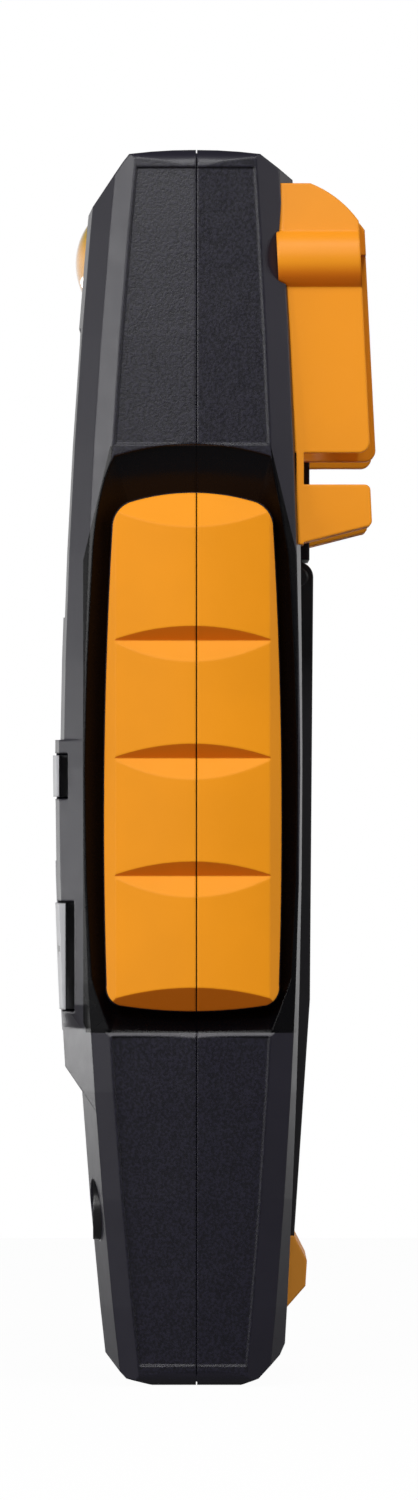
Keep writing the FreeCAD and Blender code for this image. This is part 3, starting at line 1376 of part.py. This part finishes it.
# ---------------------------------------------------------------- check and write

doc.recompute()
for item in doc.Objects:
    if "Invalid" in item.State or "Error" in item.State:
        raise RuntimeError("%s is %s" % (item.Label, item.State))
for item in exported:
    shape = item.Shape
    if shape.isNull() or not shape.isValid() or not shape.Solids:
        raise RuntimeError("%s has no valid shape" % item.Label)

os.makedirs("parts", exist_ok=True)
for item in exported:
    item.Shape.exportStep("parts/%s.step" % item.Label)
    box = item.Shape.BoundBox
    print("%-20s %2d solids  %9.1f mm3  x %6.1f %6.1f  y %6.1f %6.1f  z %6.1f %6.1f" % (
        item.Label, len(item.Shape.Solids), item.Shape.Volume,
        box.XMin, box.XMax, box.YMin, box.YMax, box.ZMin, box.ZMax))
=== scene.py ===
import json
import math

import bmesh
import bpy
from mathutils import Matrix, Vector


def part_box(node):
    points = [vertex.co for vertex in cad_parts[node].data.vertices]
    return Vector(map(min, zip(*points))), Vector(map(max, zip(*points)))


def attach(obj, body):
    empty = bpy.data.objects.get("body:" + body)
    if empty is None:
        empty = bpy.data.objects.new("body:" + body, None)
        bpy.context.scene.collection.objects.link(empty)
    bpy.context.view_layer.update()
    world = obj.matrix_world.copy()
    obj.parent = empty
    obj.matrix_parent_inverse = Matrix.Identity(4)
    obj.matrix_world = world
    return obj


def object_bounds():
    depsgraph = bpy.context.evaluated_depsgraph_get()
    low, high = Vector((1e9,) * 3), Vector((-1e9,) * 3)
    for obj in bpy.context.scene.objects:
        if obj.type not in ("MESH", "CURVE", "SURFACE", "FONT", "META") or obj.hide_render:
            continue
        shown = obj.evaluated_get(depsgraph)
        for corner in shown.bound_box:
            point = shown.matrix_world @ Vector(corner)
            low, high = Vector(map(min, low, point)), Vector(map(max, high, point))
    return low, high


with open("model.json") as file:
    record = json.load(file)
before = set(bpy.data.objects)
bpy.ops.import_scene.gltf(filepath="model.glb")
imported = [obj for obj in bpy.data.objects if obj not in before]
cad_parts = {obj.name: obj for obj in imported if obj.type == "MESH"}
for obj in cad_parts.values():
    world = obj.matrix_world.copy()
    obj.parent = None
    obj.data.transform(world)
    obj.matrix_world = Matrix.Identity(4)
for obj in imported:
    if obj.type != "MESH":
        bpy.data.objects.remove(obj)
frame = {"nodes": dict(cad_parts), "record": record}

# %% [markdown]
# # Dressing a handheld test meter
# The packed solids are already the right shape and size: a housing in two halves, ribbed orange
# grips, keys, a display, four jacks, a probe holder and a fold-out stand. What they lack is a
# surface. This lesson gives each one the finish of the real piece, and adds what is too fine for
# the solids: the digits of the display and the signs on the keys.
#
# Everything is in metres, with +Z along the meter, its front towards -Y and its back towards +Y.

MM = 0.001
cad_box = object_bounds()
nodes = frame["nodes"]
print("solids:", len(nodes), "size in mm:", [round(s / MM, 1) for s in cad_box[1] - cad_box[0]])

# %% [markdown]
# ## A camera level with the middle of the meter
# A long lens from two metres away keeps the near and far edges of the side view almost in line, as
# a catalogue picture does. Its centre is a little off the middle of the picture, and a small lens
# shift does that without tilting the camera, so upright edges stay upright.

# %% Camera
LENS = 355.0
AXIS_HEIGHT = 83.5 * MM
AXIS_DEPTH = 0.47 * MM
STAND_OFF = 2.035
SHIFT = (0.0060, 0.0120)

lens = bpy.data.cameras.new("side_camera")
lens.lens = LENS
lens.sensor_width = 36.0
lens.shift_x, lens.shift_y = SHIFT
lens.clip_start, lens.clip_end = 0.05, 50.0
camera = bpy.data.objects.new("side_camera", lens)
camera.location = (STAND_OFF, AXIS_DEPTH, AXIS_HEIGHT)
camera.rotation_euler = (math.radians(90), 0, math.radians(90))
bpy.context.scene.collection.objects.link(camera)
bpy.context.scene.camera = camera
bpy.context.scene.view_settings.view_transform = "Standard"
print("camera", STAND_OFF, "m out, lens", LENS, "mm")

# %% [markdown]
# ## Shader sums written as sums
# A node tree for a finish is mostly arithmetic, and arithmetic is easier to read as a formula than
# as a chain of nodes. The small class below wraps one socket, so that `1 - mask` or `grain * 0.4`
# adds the Math node it stands for. Any other node comes from its `node` method, and colours go
# through a Mix node, because a Math node would turn them grey.

# %% A socket that can be added and multiplied
class Wire:
    """One output socket. Sums of wires add the Math nodes that work them out."""

    def __init__(self, tree, socket=None):
        self.tree = tree
        self.socket = socket

    def node(self, kind, settings=None, inputs=None, output=0):
        """Any other node: its settings first, then the values or links of its sockets."""
        made = self.tree.nodes.new(kind)
        for name, value in (settings or {}).items():
            setattr(made, name, value)
        for name, value in (inputs or {}).items():
            if isinstance(value, Wire):
                self.tree.links.new(value.socket, made.inputs[name])
            else:
                made.inputs[name].default_value = value
        return Wire(self.tree, made.outputs[output])

    def math(self, operation, *values):
        return self.node("ShaderNodeMath", {"operation": operation}, dict(enumerate(values)))

    def __add__(self, other):
        return self.math("ADD", self, other)

    def __sub__(self, other):
        return self.math("SUBTRACT", self, other)

    def __rsub__(self, other):
        return self.math("SUBTRACT", other, self)

    def __mul__(self, other):
        return self.math("MULTIPLY", self, other)

    def __truediv__(self, other):
        return self.math("DIVIDE", self, other)

    def __rtruediv__(self, other):
        return self.math("DIVIDE", other, self)

    __radd__ = __add__
    __rmul__ = __mul__

    def size(self):
        """The value without its sign."""
        return self.math("ABSOLUTE", self)

    def most(self, other):
        """The larger of the two."""
        return self.math("MAXIMUM", self, other)

    def rise(self, low, high):
        """0 below low, 1 above high and a soft step between them."""
        return self.node("ShaderNodeMapRange", {"interpolation_type": "SMOOTHSTEP"},
                         {"Value": self, "From Min": low, "From Max": high})

    def blend(self, first, second):
        """The first colour where this is 0, the second where it is 1."""
        return self.node("ShaderNodeMix", {"data_type": "RGBA"},
                         {0: self, 6: first, 7: second}, output=2)

    def parts(self):
        """The X, Y and Z of a vector."""
        split = self.node("ShaderNodeSeparateXYZ", inputs={0: self})
        made = split.socket.node
        return [Wire(self.tree, socket) for socket in made.outputs]


def shade(red, green, blue):
    """A colour as a shader takes it."""
    return (red, green, blue, 1.0)


print("a wire can:", ", ".join(name for name in vars(Wire) if not name.startswith("_")))

# %% [markdown]
# ## The studio
# The meter stands on a plain pale floor in front of a white background. Dark plastic shows mostly
# what it reflects, so the lamps are large soft panels. The main ones stand high at the side: they
# wrap the upper half in light and leave the faces that look down dark. A low strip far behind the
# front draws the bright line down the front facets, where they are seen at a shallow angle. The rest
# of the room is dim. The background is white by colour, not by more light.

# %% Room: white for the camera, dim for the rest
world = bpy.data.worlds.new("studio")
bpy.context.scene.world = world
world.use_nodes = True
room = world.node_tree
room.nodes.clear()
start = Wire(room)
ray = start.node("ShaderNodeLightPath").socket.node.outputs
seen = Wire(room, ray["Is Camera Ray"]).most(Wire(room, ray["Is Transmission Ray"]))
toward = start.node("ShaderNodeTexCoord", output="Generated").parts()
behind = (-1.0 * toward[0]).rise(0.05, 0.55)
low_down = 1.0 - toward[2].rise(0.02, 0.35)
above = toward[2].rise(0.0, 0.8)
DIM = 0.04
CEILING = 0.06
BACKDROP = 0.92
dim_light = DIM + above * CEILING
level = seen.most(dim_light + behind * low_down * (BACKDROP - DIM))
light = start.node("ShaderNodeBackground", inputs={"Color": shade(1, 1, 1), "Strength": level})
room_out = room.nodes.new("ShaderNodeOutputWorld")
room.links.new(light.socket, room_out.inputs["Surface"])
print("room: dim", DIM, "and white behind the meter")


# %% Lamps
def soft_panel(name, place, wide, tall, radiance, aim_height=0.085):
    """A soft box that faces the meter. Radiance 1 is as bright as white paper in plain light."""
    lamp = bpy.data.lights.new(name, "AREA")
    lamp.shape = "RECTANGLE"
    lamp.size, lamp.size_y = wide, tall
    lamp.energy = radiance * math.pi * wide * tall
    lamp.color = (1, 1, 1)
    box = bpy.data.objects.new(name, lamp)
    box.location = place
    aim = Vector((0, 0, aim_height)) - Vector(place)
    box.rotation_euler = aim.to_track_quat("-Z", "Y").to_euler()
    box.visible_camera = False
    bpy.context.scene.collection.objects.link(box)


soft_panel("main_box", (1.20, -0.36, 0.67), 0.32, 0.32, 27.0)
soft_panel("upper_box", (0.84, 0.20, 1.06), 0.40, 0.30, 16.0)
soft_panel("front_box", (0.50, -1.09, 0.25), 0.48, 0.40, 8.6)
soft_panel("front_strip", (-0.40, -0.55, 0.034), 0.60, 0.06, 5.6, 0.03)
soft_panel("rear_box", (0.30, 0.95, 0.35), 0.50, 0.50, 3.0)

# %% [markdown]
# The floor is pale to the camera but a dark grey to the light, so that it keeps the shadow of the
# meter and throws little light back up. Light Path tells the two apart.

# %% Floor
FLOOR_HALF = 0.6
FLOOR_DROP = 0.2 * MM
SEEN_GREY = 0.9
LIT_GREY = 0.20
WHITE_SHARE = 0.97
GLOSSY_SHARE = 0.03
floor_mesh = bpy.data.meshes.new("floor")
floor_mesh.from_pydata([(-FLOOR_HALF, -FLOOR_HALF, 0), (FLOOR_HALF, -FLOOR_HALF, 0),
                        (FLOOR_HALF, FLOOR_HALF, 0), (-FLOOR_HALF, FLOOR_HALF, 0)],
                       [], [(0, 1, 2, 3)])
floor = bpy.data.objects.new("floor", floor_mesh)
floor.location.z = cad_box[0].z - FLOOR_DROP
bpy.context.scene.collection.objects.link(floor)
pale = bpy.data.materials.new("pale_floor")
pale.use_nodes = True
pale.node_tree.nodes.clear()
ground = Wire(pale.node_tree)
rays = ground.node("ShaderNodeLightPath").socket.node.outputs
by_camera = Wire(pale.node_tree, rays["Is Camera Ray"])
by_gloss = Wire(pale.node_tree, rays["Is Glossy Ray"])
white = ground.node("ShaderNodeEmission", inputs={"Color": shade(1, 1, 1), "Strength": 1.0})
paint = by_camera.blend(shade(LIT_GREY, LIT_GREY, LIT_GREY), shade(SEEN_GREY, SEEN_GREY, SEEN_GREY))
matt = ground.node("ShaderNodeBsdfDiffuse", inputs={"Color": paint})
shown = by_camera * WHITE_SHARE + by_gloss * GLOSSY_SHARE
mixed = ground.node("ShaderNodeMixShader", inputs={0: shown, 1: matt, 2: white})
floor_out = pale.node_tree.nodes.new("ShaderNodeOutputMaterial")
pale.node_tree.links.new(mixed.socket, floor_out.inputs["Surface"])
floor_mesh.materials.append(pale)
print("floor at", round(floor.location.z / MM, 2), "mm")

# %% [markdown]
# ## One recipe for moulded and metal pieces
# A moulded surface is never one flat colour. The tool leaves a fine spark texture, the pigment
# varies a little, and handling polishes it unevenly. So each finish has three scales of noise: a
# broad one for the tone, a middle one for the gloss and a fine one for the grain that the light
# catches. Only their sizes and strengths differ from one material to the next. Every moulded edge
# is also slightly round, and that thin round catches a line of light: a Bevel node turns the
# surface's direction over a fraction of a millimetre at each edge, without changing the solids.

# %% The recipe
TONES_PER_METRE = 60.0
GLOSSES_PER_METRE = 420.0
POLISH = 0.08


def finish(name, colour, rough, grain_mm, grain_depth, mottle, metal=0.0, coat=0.0, shine=0.5,
           edge_mm=0.35):
    """A material with an uneven tone, an uneven gloss and a fine grain, and what it is made of.

    The grain, its depth and the rounding of the edges are in millimetres. Mottle is the share by
    which the tone varies.
    """
    material = bpy.data.materials.new(name)
    material.use_nodes = True
    tree = material.node_tree
    shader = tree.nodes["Principled BSDF"]
    shader.inputs["Metallic"].default_value = metal
    shader.inputs["Coat Weight"].default_value = coat
    shader.inputs["Specular IOR Level"].default_value = shine
    begin = Wire(tree)
    place = begin.node("ShaderNodeTexCoord", output="Object")
    tone = begin.node("ShaderNodeTexNoise", inputs={
        "Vector": place, "Scale": TONES_PER_METRE, "Detail": 3.0})
    gloss = begin.node("ShaderNodeTexNoise", inputs={
        "Vector": place, "Scale": GLOSSES_PER_METRE, "Detail": 2.0})
    grain = begin.node("ShaderNodeTexNoise", inputs={
        "Vector": place, "Scale": 1.0 / (grain_mm * MM), "Detail": 2.0, "Roughness": 0.6})
    darker = shade(*[c * (1 - mottle) for c in colour])
    lighter = shade(*[min(1.0, c * (1 + mottle)) for c in colour])
    base = tone.rise(0.3, 0.7).blend(darker, lighter)
    roughness = rough + (gloss - 0.5) * POLISH
    soft_edge = begin.node("ShaderNodeBevel", {"samples": 6}, {"Radius": edge_mm * MM})
    bump = begin.node("ShaderNodeBump", inputs={
        "Strength": 0.7, "Distance": grain_depth * MM, "Height": grain, "Normal": soft_edge})
    tree.links.new(base.socket, shader.inputs["Base Color"])
    tree.links.new(roughness.socket, shader.inputs["Roughness"])
    tree.links.new(bump.socket, shader.inputs["Normal"])
    return material, {"tree": tree, "shader": shader, "start": begin, "place": place, "base": base,
                      "roughness": roughness, "grain": grain, "relief": bump.socket.node}


def feed(part, name, wire):
    """Leads a wire to one socket of a finish's shader."""
    part["tree"].links.new(wire.socket, part["shader"].inputs[name])


print("recipe: tone, gloss and grain, at three sizes of noise")

# %% [markdown]
# ## Housing
# The two halves are one dark grey plastic. Its facets and front have a fine satin finish, while the
# recessed side panels are spark eroded for grip, which scatters the light and looks like slate.
# The panels are the only places that face straight out to the side, so the surface's own direction
# tells the two finishes apart.

# %% Housing plastic
HOUSING = (0.0112, 0.0098, 0.0185)
SPECKS_PER_METRE = 2500.0
SPECK_HEIGHT = 1.4
GRAIN_HEIGHT = 0.4
housing, part = finish("housing_black", HOUSING, 0.37, grain_mm=0.30, grain_depth=0.020,
                       mottle=0.08, edge_mm=0.40)
outward = part["start"].node("ShaderNodeTexCoord", output="Normal").parts()[0].size()
panel = outward.rise(0.93, 0.965)
speck = part["start"].node("ShaderNodeTexNoise", inputs={
    "Vector": part["place"], "Scale": SPECKS_PER_METRE, "Detail": 2.0, "Roughness": 0.7})
height = part["grain"] * GRAIN_HEIGHT + speck * panel * SPECK_HEIGHT
part["relief"].inputs["Strength"].default_value = 0.8
part["tree"].links.new(height.socket, part["relief"].inputs["Height"])
print("housing colour", HOUSING)

# %% [markdown]
# The recess round each grip lies in its own shade, and that shade is painted in: its colour is painted
# deep black, and a Mix Shader turns part of it into a plain matt black, painted shade that hardly
# mirrors the grip beside it. Its place follows from the box of the grips. A margin on each side gives
# its outline, which draws in above the grips as the recess does, and only sloping walls count,
# because the grips fill the rest.

# %% Where the painted recess shade goes
EDGE = 0.1 * MM
MARGIN_UP = 4.6 * MM
RAISED = 1.7 * MM
MARGIN_DEEP = 2.5 * MM
FORWARD = 0.3 * MM
WAIST_BELOW_TOP = 9.0 * MM
DRAW_IN = 0.24
INWARD = 0.9 * MM

grip_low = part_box("grip_front_right")[0]
grip_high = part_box("grip_rear_right")[1]
middle = (grip_low + grip_high) / 2
half = (grip_high - grip_low) / 2
across, depth, up = part["place"].parts()


def within(distance, limit):
    """1 where a distance is under its limit, and 0 beyond it."""
    return 1.0 - distance.rise(limit, limit + EDGE)


in_height = within((up - (middle.z + RAISED)).size(), half.z + MARGIN_UP)
above_waist = (up - (grip_high.z - WAIST_BELOW_TOP)).most(0.0)
from_middle = (depth - (middle.y - FORWARD)).size() + above_waist * DRAW_IN
in_depth = within(from_middle, half.y + MARGIN_DEEP)
at_side = 1.0 - within(across.size(), grip_low.x - INWARD)
walls = (1.0 - outward.rise(0.90, 0.96)) * outward.rise(0.12, 0.2)
# This mask is where the painted shade of the recess goes.
recess = in_height * in_depth * at_side * walls
print("middle and half size of the grips, mm:",
      [round(v / MM, 1) for v in (middle.z, half.z, half.y)])

# %% Two tones of the housing, and painted shade in the recess
PANEL = (0.0064, 0.0056, 0.0130)
PAINTED_SHADE_BLACK = shade(0.0012, 0.0011, 0.0018)
PIT, PEAK = 0.60, 1.55
PAINTED_SHADE_SHARE = 0.65

pits = speck.rise(0.40, 0.62).blend(shade(*[c * PIT for c in PANEL]), shade(*[c * PEAK for c in PANEL]))
# Painted shade: the recess is painted deep black here, and a plain matt black is mixed in below.
feed(part, "Base Color", recess.blend(panel.blend(part["base"], pits), PAINTED_SHADE_BLACK))
feed(part, "Roughness", part["roughness"] + panel * (speck - 0.5) * 0.22 - recess * 0.10)
painted_shade_bsdf = part["start"].node("ShaderNodeBsdfDiffuse", inputs={"Color": PAINTED_SHADE_BLACK})
moulded = Wire(part["tree"], part["shader"].outputs["BSDF"])
painted_shade_mix = part["start"].node("ShaderNodeMixShader",
                            inputs={0: recess * PAINTED_SHADE_SHARE, 1: moulded, 2: painted_shade_bsdf})
part["tree"].links.new(painted_shade_mix.socket, part["tree"].nodes["Material Output"].inputs["Surface"])
print("tones: housing", HOUSING, "panel", PANEL, "recess", PAINTED_SHADE_BLACK[:3])

# %% [markdown]
# ## Orange rubber and orange plastic
# The grips are a satin elastomer and the probe holder a slightly harder, glossier moulding, both in
# one strong orange. The undersides of the ribs and of the holder get painted shade: a deeper, redder
# orange wherever a face looks down, away from the light above. The direction of the surface gives
# that, without a second material.

# %% Orange with painted shade on its undersides
ORANGE = (0.87, 0.305, 0.006)
PAINTED_SHADE_ORANGE = (0.70, 0.165, 0.003)


def orange(name, colour, rough, shine):
    """An orange with painted shade, deeper where the surface looks down."""
    material, part = finish(name, colour, rough, grain_mm=0.35, grain_depth=0.005, mottle=0.03,
                            shine=shine, edge_mm=0.45)
    upward = part["start"].node("ShaderNodeTexCoord", output="Normal").parts()[2]
    # Painted shade: faces that look down take the deeper orange.
    painted_underside_shade = (-1.0 * upward).rise(0.08, 0.60)
    feed(part, "Base Color", painted_underside_shade.blend(part["base"], shade(*PAINTED_SHADE_ORANGE)))
    return material


print("orange", ORANGE, "and deeper", PAINTED_SHADE_ORANGE)

# %% [markdown]
# ## The other finishes
# Each material of the record gets a finish from the recipe. The outer ones are grey keys and the
# black stand, the inner ones are seen through the window, in the jacks or with a piece taken off.
# Metals have their own colour of shine; soft pieces, such as the seal, are rougher.

# %% Moulded and printed pieces: colour, roughness, grain, its depth, mottle
moulded_pieces = {
    "stand_black": ((0.016, 0.015, 0.018), 0.45, 0.30, 0.012, 0.08),
    "key_grey": ((0.42, 0.42, 0.44), 0.30, 0.30, 0.004, 0.04),
    "jack_black": ((0.010, 0.010, 0.011), 0.28, 0.30, 0.003, 0.08),
    "inner_black": ((0.015, 0.015, 0.016), 0.45, 0.25, 0.010, 0.08),
    "light_guide": ((0.85, 0.86, 0.84), 0.20, 0.30, 0.002, 0.02),
    "lcd_glass": ((0.36, 0.40, 0.34), 0.18, 0.40, 0.001, 0.03),
    "zebra_rubber": ((0.55, 0.40, 0.40), 0.60, 0.25, 0.010, 0.08),
    "mat_silicone": ((0.30, 0.31, 0.33), 0.55, 0.30, 0.004, 0.08),
    "seal_black": ((0.012, 0.012, 0.012), 0.65, 0.25, 0.010, 0.08),
    "board_green": ((0.015, 0.13, 0.045), 0.30, 0.50, 0.006, 0.15),
    "fuse_ceramic": ((0.80, 0.78, 0.72), 0.35, 0.40, 0.004, 0.04),
    "part_body": ((0.22, 0.35, 0.50), 0.45, 0.25, 0.010, 0.08),
    "cell_jacket": ((0.10, 0.11, 0.13), 0.30, 0.40, 0.003, 0.10),
}
finishes = {name: finish(name, *recipe)[0] for name, recipe in moulded_pieces.items()}
finishes["housing_black"] = housing
finishes["grip_orange"] = orange("grip_orange", ORANGE, 0.50, 0.20)
finishes["holder_orange"] = orange("holder_orange", (0.86, 0.300, 0.012), 0.40, 0.24)
# The foot's orange is painted paler than the holder's: painted light for a foot that sits in the
# housing's shadow.
finishes["foot_orange"] = orange("foot_orange", (0.92, 0.36, 0.045), 0.50, 0.20)
print("moulded finishes:", len(finishes))

# %% Metal pieces: the same columns
metal_pieces = {
    "sleeve_brass": ((0.72, 0.54, 0.25), 0.25, 0.30, 0.004, 0.05),
    "spring_metal": ((0.62, 0.62, 0.64), 0.25, 0.20, 0.003, 0.05),
    "shunt_metal": ((0.52, 0.44, 0.38), 0.35, 0.25, 0.006, 0.08),
    "can_metal": ((0.66, 0.67, 0.69), 0.30, 0.25, 0.004, 0.04),
    "screw_steel": ((0.12, 0.12, 0.13), 0.35, 0.20, 0.004, 0.10),
}
for name, recipe in metal_pieces.items():
    finishes[name] = finish(name, *recipe, metal=1.0)[0]
print("metals:", ", ".join(metal_pieces))

# %% [markdown]
# ## The badge
# The badge at the top is a clear resin dome over an orange ground. What the eye sees is the clear
# coat: a sharp, bright glint on a deep colour, from a full coat that lies on top. Under it the tone is
# painted light and shade that runs with height over the dome: pale peach low on it, olive high on it.

# %% Resin dome
badge_low, badge_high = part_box("badge_dome")
PAINTED_SHADE_OLIVE = shade(0.62, 0.42, 0.03)
PAINTED_LIGHT_PEACH = shade(0.90, 0.45, 0.16)
dome, resin = finish("badge_resin", (0.92, 0.44, 0.06), 0.10, grain_mm=0.60, grain_depth=0.001,
                     mottle=0.05, coat=1.0)
# Painted light and shade over the dome: peach low on it and olive high on it, by height alone.
up_dome = (resin["place"].parts()[2] - badge_low.z) / (badge_high.z - badge_low.z)
painted_dome_shade = up_dome.rise(0.55, 0.95).blend(resin["base"], PAINTED_SHADE_OLIVE)
feed(resin, "Base Color", up_dome.rise(0.0, 0.25).blend(PAINTED_LIGHT_PEACH, painted_dome_shade))
finishes["badge_resin"] = dome
print("badge, mm:", [round(v / MM, 1) for v in badge_high - badge_low])

# %% [markdown]
# ## The display
# The window is one clear plate with a black border printed on its back. The border hides the edge
# of the glass below, and the middle lets the display through. One opaque border and one nearly
# clear middle give that without any real refraction, which a flat window hardly shows.

# %% Window with a printed border
window_low, window_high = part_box("display_window")
clear, plate = finish("window_clear", (0.006, 0.006, 0.007), 0.06, grain_mm=0.60,
                      grain_depth=0.0005, mottle=0.02, coat=0.4)
sideways, _, window_up = plate["place"].parts()
BORDER = 4.2 * MM
TINT = 0.07
centre = (window_low + window_high) / 2
reach = (window_high - window_low) / 2
beside = sideways.size().rise(reach.x - BORDER, reach.x - BORDER + EDGE)
over = (window_up - centre.z).size().rise(reach.z - BORDER, reach.z - BORDER + EDGE)
feed(plate, "Alpha", beside.most(over) * (1 - TINT) + TINT)
finishes["window_clear"] = clear
print("clear part of the window, mm:", round(2 * (reach.x - BORDER) / MM, 1))

# %% Each piece takes the finish that the record names for it
for row in frame["record"]["subparts"]:
    node = nodes[row["node"]]
    node.data.materials.clear()
    node.data.materials.append(finishes[row["material_slot"]])

# %% [markdown]
# ## Digits and key marks
# These are thin prints. Each is a flat outline, given a hundredth or two of a millimetre of height
# so that it lies on its surface without fighting with it. The display shows four digits of seven
# bars each, the plain sort that any meter has, over a row of ticks. Each key has one simple sign:
# an arrow, a pair of bars, a dot or a small sun. They carry no words. A print needs to know where
# the flat front of its piece lies, so that comes first.

# %% Where a flat front lies
def front_plane(name):
    """The middle of a node's flat front, the direction it faces, and the direction up along it."""
    mesh = nodes[name].data
    faces = [f for f in mesh.polygons if f.normal.y < -0.9]
    best = max(faces, key=lambda f: f.area)
    level = [f for f in faces if f.normal.dot(best.normal) > 0.9995
             and abs((f.center - best.center).dot(best.normal)) < 0.02 * MM]
    whole = sum(f.area for f in level)
    spot = sum((f.center * f.area for f in level), Vector()) / whole
    upward = (Vector((0, 0, 1)) - best.normal * best.normal.z).normalized()
    return spot, best.normal.copy(), upward


print("display front, mm:", [round(v / MM, 2) for v in front_plane("lcd_panel")[0]])

# %% A print on a flat front
DISPLAY_INK = 0.015 * MM
KEY_INK = 0.008 * MM


def flat_print(name, node, outlines, material_slot, body, lift):
    """Outlines in mm from the middle of a node's front, as one thin raised piece."""
    spot, out, upward = front_plane(node)
    right = upward.cross(out)
    mesh = bmesh.new()
    for shape in outlines:
        rings = []
        for height in (-0.5 * lift, lift):
            corners = [spot + right * (u * MM) + upward * (v * MM) + out * height for u, v in shape]
            rings.append([mesh.verts.new(corner) for corner in corners])
        count = len(shape)
        mesh.faces.new(rings[1])
        mesh.faces.new(rings[0][::-1])
        for i in range(count):
            j = (i + 1) % count
            mesh.faces.new((rings[0][i], rings[0][j], rings[1][j], rings[1][i]))
    bmesh.ops.recalc_face_normals(mesh, faces=mesh.faces)
    data = bpy.data.meshes.new(name)
    mesh.to_mesh(data)
    mesh.free()
    data.materials.append(finishes[material_slot])
    piece = bpy.data.objects.new(name, data)
    bpy.context.scene.collection.objects.link(piece)
    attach(piece, body)


def round_outline(radius, u=0.0, v=0.0, count=24):
    """A circle round the point (u, v)."""
    return [(u + radius * math.cos(2 * math.pi * i / count),
             v + radius * math.sin(2 * math.pi * i / count)) for i in range(count)]


def box_outline(left, low, wide, tall):
    """An upright rectangle from its lower left corner."""
    return [(left, low), (left + wide, low), (left + wide, low + tall), (left, low + tall)]


print("ink, mm:", round(DISPLAY_INK / MM, 3), "on the display,", round(KEY_INK / MM, 3), "on keys")

# %% Shape of a digit
DIGIT_WIDE, DIGIT_TALL, BAR = 8.0, 15.0, 1.5
BAR_GAP = 0.25
LEAN = 0.09
LIT = {"0": "abcdef", "1": "bc", "2": "abged", "3": "abgcd", "4": "fgbc", "5": "afgcd",
       "6": "afgedc", "7": "abc", "8": "abcdefg", "9": "abcdfg"}


def bar_outline(key, u, v):
    """One bar of a digit, pointed at both ends, leaning as such digits do."""
    w, h, t = DIGIT_WIDE / 2, DIGIT_TALL / 2, BAR / 2
    ends = {"a": ((-w, h), (w, h)), "g": ((-w, 0), (w, 0)), "d": ((-w, -h), (w, -h)),
            "f": ((-w, 0), (-w, h)), "b": ((w, 0), (w, h)),
            "e": ((-w, -h), (-w, 0)), "c": ((w, -h), (w, 0))}[key]
    (u0, v0), (u1, v1) = ends
    if v0 == v1:
        start, end = u0 + BAR_GAP, u1 - BAR_GAP
        shape = [(start, v0), (start + t, v0 - t), (end - t, v0 - t), (end, v0),
                 (end - t, v0 + t), (start + t, v0 + t)]
    else:
        start, end = v0 + BAR_GAP, v1 - BAR_GAP
        shape = [(u0, start), (u0 + t, start + t), (u0 + t, end - t), (u0, end),
                 (u0 - t, end - t), (u0 - t, start + t)]
    return [(u + a + LEAN * b, v + b) for a, b in shape]


print("bars of an 8:", len(LIT["8"]))

# %% What the display shows
FIGURES = "1234"
FIGURE_PITCH = 12.0
FIRST_FIGURE = -19.5
FIGURE_HEIGHT = 1.0
POINT = (3.6, -7.2)
TICKS, TICK_PITCH, TICK_WIDE, TICK_TALL = 18, 1.6, 1.0, 1.8
FIRST_TICK = (-24.0, -13.4)

marks = [bar_outline(key, FIRST_FIGURE + i * FIGURE_PITCH, FIGURE_HEIGHT)
         for i, figure in enumerate(FIGURES) for key in LIT[figure]]
marks.append(round_outline(0.9, *POINT, 12))
marks += [box_outline(FIRST_TICK[0] + i * TICK_PITCH, FIRST_TICK[1], TICK_WIDE, TICK_TALL)
          for i in range(TICKS)]
flat_print("display_digits", "lcd_panel", marks, "jack_black", "housing", DISPLAY_INK)
print("marks on the display:", len(marks))

# %% One sign on each key
UPWARD = [(-1.6, -1.0), (1.6, -1.0), (0, 1.3)]
TO_THE_RIGHT = [(-2.6, 0.4), (1.0, 0.4), (1.0, 1.2), (2.6, 0), (1.0, -1.2), (1.0, -0.4), (-2.6, -0.4)]
SUN, RAY, RAYS = 0.8, 1.5, 6

sun_rays = [2 * math.pi * i / RAYS for i in range(RAYS)]
signs = {
    "key_up": [UPWARD],
    "key_down": [[(u, -v) for u, v in UPWARD]],
    "key_select": [round_outline(0.9)],
    "key_hold": [box_outline(left, -1.2, 1.0, 2.4) for left in (-1.5, 0.5)],
    "key_light": [round_outline(SUN)] + [round_outline(0.25, RAY * math.cos(a), RAY * math.sin(a), 8)
                                         for a in sun_rays],
    "key_mode": [box_outline(-2.2, low, 4.4, 0.6) for low in (0.3, -0.9)],
    "key_current": [TO_THE_RIGHT],
    "key_voltage": [[(-u, v) for u, v in TO_THE_RIGHT]],
}
for name, outlines in signs.items():
    body = name.removeprefix("key_") + "_key"
    flat_print("sign_on_" + name, name, outlines, "jack_black", body, KEY_INK)
print("signs:", len(signs))
